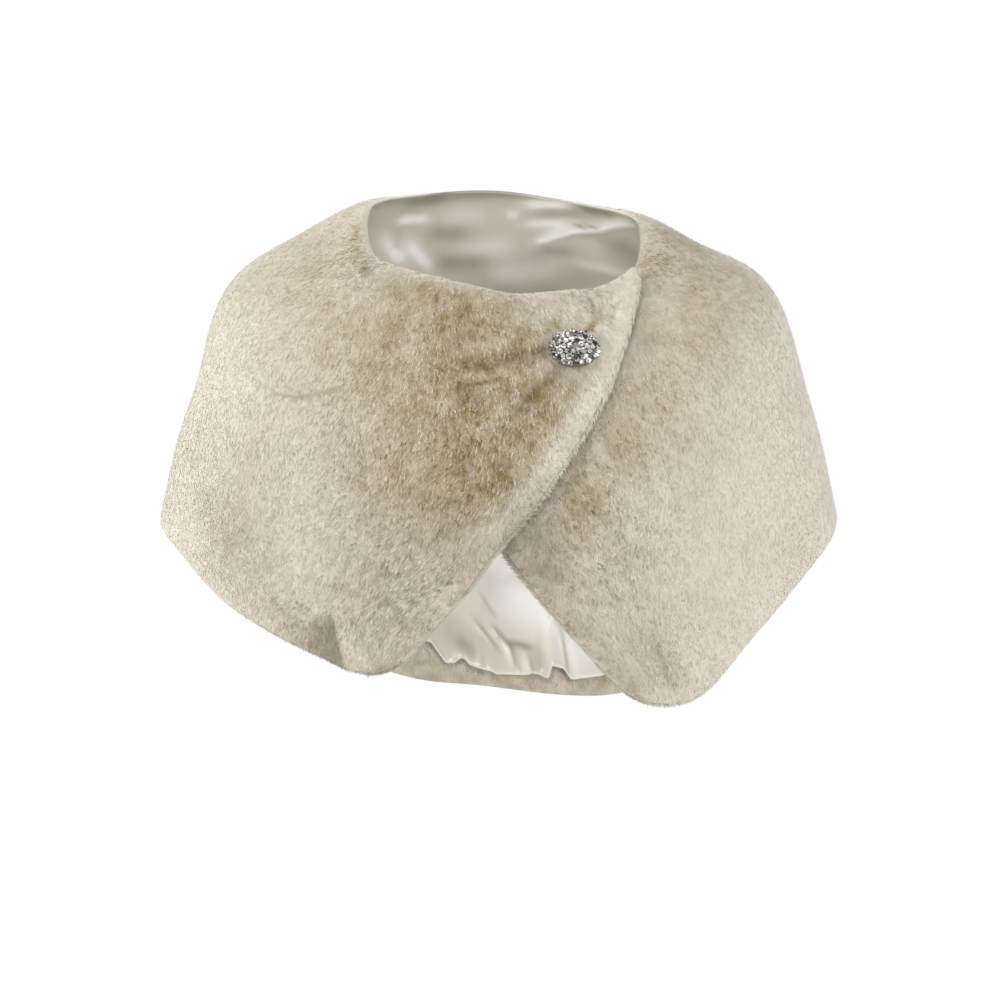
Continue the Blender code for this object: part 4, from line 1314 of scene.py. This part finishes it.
def grow(name, coat, count, seed):
    """The pile of a coat, in as many pieces as keep each one small."""
    made = strands(coat, count, seed)
    pieces = []
    parts = math.ceil(count / PIECE_STRANDS)
    order = np.argsort(made[4][:, 0], kind="stable")
    for n, chosen in enumerate(np.array_split(order, parts)):
        label = "%s_%d" % (name, n + 1) if parts > 1 else name
        pieces.append(strand_piece(label, [values[chosen] for values in made]))
    return pieces


def rim_pile(name, coat, seed):
    """The pile on a coat's cut rims: its hem and, on a front, its front edge."""
    inner = coat.panel.inner
    rims = [(True, inner[-1])]
    if coat.edge:
        rims.append((False, inner[:, -1] if coat.edge > 0 else inner[:, 0]))
    made = []
    for on_hem, line in rims:
        length = np.linalg.norm(np.diff(line, axis=0), axis=-1).sum()
        made.append(rim_strands(coat, on_hem, length, seed + len(made)))
    return strand_piece(name, [np.concatenate(values) for values in zip(*made)])


def nap_marks(piece, panel, down, across):
    """Stores where each point lies along the nap, counted in strokes of the pile."""
    points = read(panel.inner, down, across)
    sway = layered(points, NAP_SWAY)
    x = read(panel.azimuth, down, across) * METRES_PER_DEGREE + sway
    y = read(panel.share, down, across) * METRES_PER_SHARE + SWAY_DOWN * sway
    marks = np.stack([x / STROKE[0], y / STROKE[1], np.zeros_like(x)], axis=-1).reshape(-1, 3)
    attribute = piece.data.attributes.new("nap", "FLOAT_VECTOR", "POINT")
    attribute.data.foreach_set("vector", np.tile(marks, (2, 1)).astype(np.float32).ravel())


def pile_body(name, coat):
    """The ground cloth with the dense pile on it, up to a little below the tips."""
    panel = coat.panel
    rows, columns = panel.share.shape
    down = np.linspace(0, rows - 1 - BODY_TRIM, rows)
    first = BODY_TRIM if coat.edge < 0 else 0
    last = columns - 1 - (BODY_TRIM if coat.edge > 0 else 0)
    across = np.linspace(first, last, columns)
    down, across = np.meshgrid(down, across, indexing="ij")
    inner = read(panel.inner, down, across)
    normal = unit(read(panel.normal, down, across))
    loss = parted(panel, down, across)
    ruffle = read(coat.ruffle, down, across)
    relief = layered(inner, BODY_RELIEF) * between(LIVELY, ruffle)
    depth = read(coat.depth, down, across) - between(BODY_INSET, ruffle) - loss * PARTING_DEPTH + relief
    outer = inner + np.maximum(depth, GROUND)[..., None] * normal
    piece = sheet_of(name, inner, outer, PILE_BODY)
    shade = read(coat.shade, down, across)
    # painted shade: the body takes a colour nearer its roots in shade and in partings
    height = BODY_HEIGHT * (1 - BODY_PARTING * loss) * (1 - BODY_SHADE * shade) + RELIEF_LIGHT * relief
    patch = np.minimum(read(coat.patch, down, across) + SHADE_TAN * shade, 1)
    values = np.stack([height, ruffle, patch], axis=-1).reshape(-1, 3)
    paint(piece, "pile", np.tile(values, (2, 1)))
    nap_marks(piece, panel, down, across)
    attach(piece, "root")
    return piece


def fur_panel(node, coat, count, seed, flat, area):
    """A panel's dense pile and its strands, in place of its solid."""
    ground = pile_body(node + "_ground", coat)
    pieces = grow(node + "_pile", coat, count, seed)
    pieces.append(rim_pile(node + "_rim_pile", coat, seed + 20))
    if coat.edge:
        pieces += grow(node + "_turned_pile", turned_coat(coat), STRANDS_INSIDE, seed + 50)
    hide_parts(node)


# The linings and the turned-up hem


def creased(creases, points):
    """How far the satin's creases stand out at each point in space, and how light it is painted there."""
    height = np.zeros(points.shape[:-1])
    light = np.full(points.shape[:-1], PLAIN_LIGHT)
    for crease in creases:
        azimuth = np.linspace(crease.azimuth, crease.to_azimuth, CREASE_STEPS)
        share = np.linspace(crease.share, crease.to_share, CREASE_STEPS)
        distance, along = near_chain(points, shell(azimuth, share, 0.0))
        ends = ramp(np.minimum(along, 1 - along), *CREASE_ENDS)
        profile = ends * bell(distance, crease.width)
        height += crease.height * profile
        light += crease.light * profile
    return height, light


def swollen(points, layers):
    """How far the satin bulges softly from its place."""
    return sum(layer.amount for layer in layers) + layered(points, layers)


def lining_piece(name, node, panel, rows, columns, relief, light):
    """A satin sheet inside a panel, at fractional rows and columns of its grid, standing in by relief."""
    normal = unit(read(panel.normal, rows, columns))
    share = read(panel.share, rows, columns)
    clear = between((GAP, LINING_CLEAR), ramp(share, 0, LINING_SEWN))
    outer = read(panel.inner, rows, columns) - (clear + relief)[..., None] * normal
    piece = sheet_of(name, outer - LINING * normal, outer, SATIN)
    paint(piece, "light", np.tile(np.clip(light, 0, 1).reshape(-1, 1), (2, 1)))
    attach(piece, "root")
    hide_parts(node)
    return piece


def front_lining(side, coat, flat, area):
    """The lining of a front, which stops short of its edge and its hem."""
    panel = coat.panel
    rows, columns = panel.share.shape
    wide, long = FRONT_LINING
    start = 0 if coat.edge > 0 else (1 - wide) * (columns - 1)
    end = wide * (columns - 1) if coat.edge > 0 else columns - 1
    down = np.linspace(0, long * (rows - 1), FRONT_LINING_GRID[1])
    down, across = np.meshgrid(down, np.linspace(start, end, FRONT_LINING_GRID[0]), indexing="ij")
    points = read(panel.inner, down, across)
    share = down / (rows - 1)
    sewn = ramp(share, 0, FRONT_SEWN) * ramp(long - share, 0, FRONT_SEWN)
    height, light = creased(FRONT_CREASES, points)
    relief = sewn * np.maximum(swollen(points, FRONT_SWELL) + height, 0)
    piece = lining_piece(side + "_satin", side + "_lining", panel, down, across, relief, light)


def lining_edge(azimuth):
    """Share at which the lower edge of the back lining lies."""
    return np.interp(azimuth, [row.azimuth for row in LINING_EDGE], [row.share for row in LINING_EDGE])


def waves(azimuth, rows):
    return sum(row.height * np.sin(row.rate * azimuth + row.start) for row in rows)


def puckers(azimuth, distance):
    """Small uneven gathers above the lower edge of the back lining, and its rolled edge."""
    wave = np.sin(2 * np.pi * azimuth / PUCKER_SPACING + waves(azimuth, PUCKER_WANDER))
    uneven = PUCKER_LEVEL + waves(azimuth, PUCKER_CHANGE) * np.cos(PUCKER_BEAT * azimuth)
    reach = PUCKER_LENGTH * (1 + waves(azimuth, PUCKER_REACH))
    gathers = PUCKER_HEIGHT * np.clip(uneven, PUCKER_LEAST, 1) * (1 + wave) / 2 * np.exp(-distance / reach)
    return gathers + LIP_HEIGHT * bell(distance, LIP_WIDTH)


def back_lining(panel):
    """The lining of the back, gathered where it joins the turned-up hem."""
    rows, columns = panel.share.shape
    across = np.linspace(0, columns - 1, BACK_LINING_GRID[0])
    even = np.linspace(0, 1, BACK_LINING_GRID[1])
    down = np.interp(even, *BACK_ROWS)
    azimuth = np.interp(across, np.arange(columns), panel.azimuth[0])
    end = lining_edge(azimuth)
    lip = NECK_LIP * ramp(np.minimum(azimuth - SIDE_SEAM, 360 - SIDE_SEAM - azimuth), 0, NECK_LIP_TAPER)
    share = down[:, None] * (end + lip) - lip
    place = share / np.interp(across, np.arange(columns), panel.share[-1]) * (rows - 1)
    across = np.broadcast_to(across, place.shape)
    points = read(panel.inner, place, across)
    distance = (end[None, :] - share) * METRES_PER_SHARE * BACK_STRETCH
    sewn = ramp(share, 0, BACK_SEWN)
    height, light = creased(BACK_CREASES, points)
    height = height + swollen(points, BACK_SWELL)
    relief = np.maximum(sewn * height + puckers(azimuth[None, :], distance), 0)
    # painted highlight along the rolled lower edge, and painted shade on the lip above the neck edge
    light = light + LIP_LIGHT * bell(distance, LIP_WIDTH) - NECK_LIP_SHADE * (1 - sewn)
    piece = lining_piece("back_satin", "back_lining", panel, place, across, relief, light)


def turned_hem(panel):
    """The hem of the back, turned up inside below the lining, with its short pile."""
    rows, columns = panel.share.shape
    down = np.linspace(TURNED_HEM_TOP, TURNED_HEM_END, HEM_GRID[1]) * (rows - 1)
    down, across = np.meshgrid(down, np.linspace(0, columns - 1, HEM_GRID[0]), indexing="ij")
    normal = unit(read(panel.normal, down, across))
    hem_gap = near_chain(panel.inner, panel.inner[-1])[0]
    below_lining = ramp(panel.share - lining_edge(panel.azimuth), 0, TURNED_RISE)
    depth = between((GROUND, rolled(TURNED_PILE, [hem_gap], [EDGE_ROLL])), below_lining)
    outer = read(panel.inner, down, across) - GAP * normal
    inside = np.maximum(read(depth, down, across) - between(BODY_INSET, HEM_INSET), GROUND)[..., None]
    ground = sheet_of("back_hem_ground", outer - inside * normal, outer, PILE_BODY)
    patch = patch_strength(panel) + HEM_TAN + layered(panel.inner, HEM_MOTTLE)
    height = HEM_HEIGHT + layered(read(panel.inner, down, across), HEM_RELIEF)
    values = np.stack([height, np.full_like(height, HEM_RUFFLE), read(patch, down, across)], axis=-1)
    paint(ground, "pile", np.tile(values.reshape(-1, 3), (2, 1)))
    nap_marks(ground, panel, down, across)
    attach(ground, "root")
    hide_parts("back_hem_facing")
    top = lining_edge(panel.azimuth) - HEM_START
    keep = (panel.share > top) & (panel.share < TURNED_HEM_END)
    still = np.zeros_like(depth)
    coat = Coat(panel, depth, still, still + HEM_NAP, patch, still + 1, still, keep, -1, 0, HEM_SHADE_TONE)
    pieces = grow("back_hem_pile", coat, STRANDS_HEM, SEED + 4)


def turned_coat(coat):
    """The short pile inside a front, beside its edge and hem, where the lining doesn't reach."""
    panel = coat.panel
    rows, columns = panel.share.shape
    wide, long = FRONT_LINING
    across = np.broadcast_to(np.linspace(0, 1, columns), panel.share.shape)
    across = across if coat.edge > 0 else 1 - across
    down = np.broadcast_to(np.linspace(0, 1, rows)[:, None], panel.share.shape)
    keep = coat.keep & ((across > wide - TURNED_MARGIN) | (down > long - TURNED_MARGIN))
    still = np.zeros_like(coat.depth)
    depth = still + TURNED_DEPTH
    return Coat(panel, depth, still, still + TURNED_NAP, coat.patch, coat.ruffle, still, keep, -1)


# The brooch


def brooch_place():
    """Centre of the brooch's back, and its directions across, up and outwards."""
    azimuth = np.array(BROOCH_AZIMUTH)
    share = np.array(BROOCH_SHARE)
    centre = shell(azimuth, share, wrap_lift(azimuth, share) + PILE - BROOCH_SINK)
    normal = outward(azimuth, share)
    across = unit(np.cross(np.array([0.0, 0.0, 1.0]), normal))
    return centre, across, np.cross(normal, across), normal


def on_brooch(local):
    """Points given across, up and out from the brooch's back, in the frame's axes."""
    centre, across, up, normal = brooch_place()
    return centre + local @ np.stack([across, up, normal])


def dome_height(across, up):
    size = np.hypot(across / (BROOCH_WIDTH / 2), up / (BROOCH_HEIGHT / 2)) / DOME_SIZE
    return SETTING_DEPTH + GAP + DOME_DEPTH * np.sqrt(np.maximum(1 - DOME_FALL * size**2, DOME_LEAST))


def stone_places(random):
    """Place and radius of each stone: the larger ones, and the rings where they leave room."""
    angles = 2 * np.pi * np.arange(STONE_EDGE_COUNT) / STONE_EDGE_COUNT
    wanted = [(STONE_EDGE[0] * math.cos(angle), STONE_EDGE[1] * math.sin(angle)) for angle in angles]
    for row in range(-STONE_ROWS, STONE_ROWS + 1):
        for column in range(-STONE_COLUMNS, STONE_COLUMNS + 1):
            wanted.append(((column + 0.5 * (row % 2)) * STONE_ROW * STONE_SPREAD, row * STONE_ROW))
    most_across, most_up = (half + STONE_MARGIN for half in STONE_EDGE)
    placed = [(stone.across, stone.up, stone.radius) for stone in BIG_STONES]
    for x, y in wanted:
        x, y = np.array([x, y]) + random.normal(0, STONE_JITTER, 2)
        radius = STONE_RADIUS * random.uniform(*STONE_SIZES)
        inside = math.hypot(x / most_across, y / most_up) < 1
        if inside and all(math.hypot(x - a, y - b) > STONE_APART * (radius + r) for a, b, r in placed):
            placed.append((x, y, radius))
    return placed


def stone_frame(x, y, random):
    """A stone's centre on the dome, and two directions across it and one out of it, turned at random."""
    step = 0.0004
    slope_x = (dome_height(x + step, y) - dome_height(x - step, y)) / (2 * step)
    slope_y = (dome_height(x, y + step) - dome_height(x, y - step)) / (2 * step)
    out = np.array([-STONE_TILT * slope_x, -STONE_TILT * slope_y, 1.0])
    out = unit(out + random.normal(0, STONE_LEAN, 3))
    first = unit(np.cross(np.array([0.0, 1.0, 0.0]), out))
    second = np.cross(out, first)
    turn = random.uniform(0, 2 * np.pi)
    first, second = (
        first * math.cos(turn) + second * math.sin(turn),
        second * math.cos(turn) - first * math.sin(turn),
    )
    return np.array([x, y, dome_height(x, y)]), np.stack([first, second, out])


def circle(sides, radius, height, turn=0.0):
    angle = 2 * np.pi * (np.arange(sides) + turn) / sides
    return np.stack([radius * np.cos(angle), radius * np.sin(angle), np.full(sides, height)], axis=-1)


def cut_stone(radius):
    """Corners of the facets of a round stone: eight round the table, eight kites and eight at the girdle."""
    table = circle(STONE_SIDES, STONE_TABLE[0] * radius, STONE_TABLE[1] * radius)
    girdle = circle(STONE_SIDES, radius, STONE_GIRDLE * radius, 0.5)
    next_table = np.roll(table, -1, axis=0)
    next_girdle = np.roll(girdle, -1, axis=0)
    middle = np.broadcast_to((0, 0, STONE_TOP * radius), table.shape)
    star = np.stack([table, girdle, next_table], axis=1)
    kite = np.stack([girdle, next_girdle, next_table], axis=1)
    top = np.stack([table, next_table, middle], axis=1)
    return np.concatenate([star, kite, top])


def jewels(places, random):
    """All stones of the brooch in one mesh, each facet with its own painted glint."""
    corners = []
    painted_glints = []
    for (x, _, radius), (centre, axes) in places:
        facets = cut_stone(radius)
        corners.append(centre + facets @ axes)
        large = radius > LARGE_STONE * STONE_RADIUS
        # painted glints: each facet's base colour is dark or bright at random, dimmer on large stones and at
        # the left side
        dim = LARGE_DIM if large else SIDE_DIM * float(ramp(-x, *SIDE_DIM_PLACE))
        own = random.random(len(facets))
        own[-STONE_SIDES:] = random.random() + random.normal(0, TABLE_GLINT, STONE_SIDES)
        painted_glints.append(np.clip(own - dim * random.random(), 0, 1))
    corners = np.concatenate(corners)
    piece = new_piece(
        "brooch_jewels",
        on_brooch(corners.reshape(-1, 3)),
        np.arange(3 * len(corners)).reshape(-1, 3),
        stone_material(),
    )
    piece.data.shade_flat()
    paint(piece, "painted_glint", np.repeat(np.concatenate(painted_glints), 3)[:, None])
    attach(piece, "root")
    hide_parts("brooch_stones")


def tube(loops):
    """Quads between loops of points, each with the same number of points."""
    count, sides = loops.shape[:2]
    number = np.arange(count * sides).reshape(count, sides)
    after = np.roll(number, -1, axis=1)
    return np.stack([number[:-1], after[:-1], after[1:], number[1:]], axis=-1).reshape(-1, 4)


def ellipse(size, angle):
    """Points across and up on an ellipse of the brooch's form."""
    return size * BROOCH_WIDTH / 2 * np.cos(angle), size * BROOCH_HEIGHT / 2 * np.sin(angle)


def setting_base():
    """Loops of the setting: a flat back, a scalloped rim and the dome that the stones stand on."""
    angle = np.linspace(0, 2 * np.pi, SCALLOP_POINTS * SCALLOPS, endpoint=False)
    scallop = 1 - SCALLOP_DEPTH * np.abs(np.sin(angle * SCALLOPS / 2))
    loops = []
    for size, height in SETTING_RIM:
        x, y = ellipse(size * scallop, angle)
        loops.append(np.stack([x, y, np.full_like(x, height)], axis=-1))
    for size in np.linspace(*DOME_RINGS):
        x, y = ellipse(size, angle)
        loops.append(np.stack([x, y, dome_height(x, y) - DOME_SINK], axis=-1))
    return np.stack(loops)


def cup(radius):
    """Loops of the cup that holds a stone."""
    return np.stack([circle(CUP_SIDES, size * radius, height * radius) for size, height in CUP_OUTLINE])


def bead(place, radius):
    """Loops of a small bead."""
    polar = np.radians(BEAD_RINGS)
    return np.stack([circle(BEAD_SIDES, radius * math.sin(t), radius * math.cos(t)) for t in polar]) + place


def mount(places):
    """The silver part of the brooch in one mesh: base, a cup for each stone, and beads between them."""
    points = []
    faces = []
    heights = []

    def join(loops, height):
        start = sum(len(group) for group in points)
        faces.append(tube(loops) + start)
        points.append(loops.reshape(-1, 3))
        heights.append(np.broadcast_to(height, loops.shape[:2]).ravel())

    base = setting_base()
    on_rim = np.arange(len(base)) < len(SETTING_RIM)
    join(base, np.where(on_rim, RIM_BRIGHT, DOME_BRIGHT)[:, None])
    reach, height, turn = BEAD_PLACE
    for (_, _, radius), (centre, axes) in places:
        join(centre + cup(radius) @ axes, CUP_BRIGHT)
        for place in circle(BEADS, reach * radius, height * radius, turn):
            join(centre + bead(place, BEAD_SHARE * radius) @ axes, BEAD_BRIGHT)
    points = on_brooch(np.concatenate(points))
    piece = new_piece("brooch_mount", points, np.concatenate(faces), setting_material())
    paint(piece, "height", np.concatenate(heights)[:, None])
    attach(piece, "root")
    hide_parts("brooch_setting")


def brooch():
    random = np.random.default_rng(SEED + 9)
    stones = stone_places(random)
    places = [(stone, stone_frame(stone[0], stone[1], random)) for stone in stones]
    mount(places)
    jewels(places, random)


# Floor, light and camera


def area_light(name, place, aim, size, power):
    light = bpy.data.lights.new(name, "AREA")
    light.shape = "DISK"
    light.size = size
    light.energy = power
    lamp = bpy.data.objects.new(name, light)
    lamp.location = place
    lamp.rotation_euler = (Vector(aim) - Vector(place)).to_track_quat("-Z", "Y").to_euler()
    bpy.context.scene.collection.objects.link(lamp)


def shown_to_camera(tree, seen, otherwise, output):
    """Shows one shader to the camera and lights the part with another."""
    rays = add(tree, "ShaderNodeLightPath")
    chosen = add(tree, "ShaderNodeMixShader")
    link(rays.outputs["Is Camera Ray"], chosen.inputs["Fac"])
    link(otherwise, chosen.inputs[1])
    link(seen, chosen.inputs[2])
    link(chosen.outputs["Shader"], output)


def floor():
    material, tree, shader = empty_material("floor")
    set_inputs(shader, {"Base Color": (FLOOR_SHADE, FLOOR_SHADE, FLOOR_SHADE, 1), "Roughness": 0.9})
    white = add(tree, "ShaderNodeEmission", Color=(1, 1, 1, 1), Strength=1.0)
    output = tree.nodes["Material Output"].inputs["Surface"]
    shown_to_camera(tree, white.outputs["Emission"], shader.outputs["BSDF"], output)
    corners = FLOOR_SIZE * np.array([(-1, -1, 0), (1, -1, 0), (1, 1, 0), (-1, 1, 0)])
    piece = new_piece("floor", corners - (0, 0, FLOOR_DROP), [(0, 1, 2, 3)], material)


def studio():
    world = bpy.data.worlds.new("studio")
    world.use_nodes = True
    tree = world.node_tree
    light = tree.nodes["Background"]
    set_inputs(light, {"Color": (1, 1, 1, 1), "Strength": WORLD_STRENGTH})
    backdrop = add(tree, "ShaderNodeBackground", Color=(1, 1, 1, 1), Strength=1.0)
    output = tree.nodes["World Output"].inputs["Surface"]
    shown_to_camera(tree, backdrop.outputs["Background"], light.outputs["Background"], output)
    bpy.context.scene.world = world
    bpy.context.scene.view_settings.view_transform = "Standard"
    for lamp in LAMPS:
        area_light(lamp.name, lamp.place, CAMERA_AIM, lamp.size, lamp.power)


def camera():
    data = bpy.data.cameras.new("camera")
    data.sensor_width = SENSOR_WIDTH
    data.lens = SENSOR_WIDTH * CAMERA_DISTANCE / FRAME_WIDTH
    made = bpy.data.objects.new("camera", data)
    angle = math.radians(CAMERA_ELEVATION)
    back = Vector((0, -math.cos(angle), math.sin(angle)))
    made.location = Vector(CAMERA_AIM) + CAMERA_DISTANCE * back
    made.rotation_euler = (-back).to_track_quat("-Z", "Y").to_euler()
    bpy.context.scene.collection.objects.link(made)
    bpy.context.scene.camera = made


FUR = pile_material()
PILE_BODY = body_material()
SATIN = satin_material()


def main():
    camera()
    floor()
    studio()
    above = right_front_coat()
    beneath = left_front_coat()
    behind = back_coat()
    fur_panel("right_front", above, STRANDS_RIGHT, SEED + 1, *RIGHT_CUT)
    fur_panel("left_front", beneath, STRANDS_LEFT, SEED + 2, *LEFT_CUT)
    fur_panel("back", behind, STRANDS_BACK, SEED + 3, *BACK_CUT)
    turned_hem(behind.panel)
    front_lining("right_front", above, *RIGHT_LINING_CUT)
    front_lining("left_front", beneath, *LEFT_LINING_CUT)
    back_lining(behind.panel)
    brooch()


main()
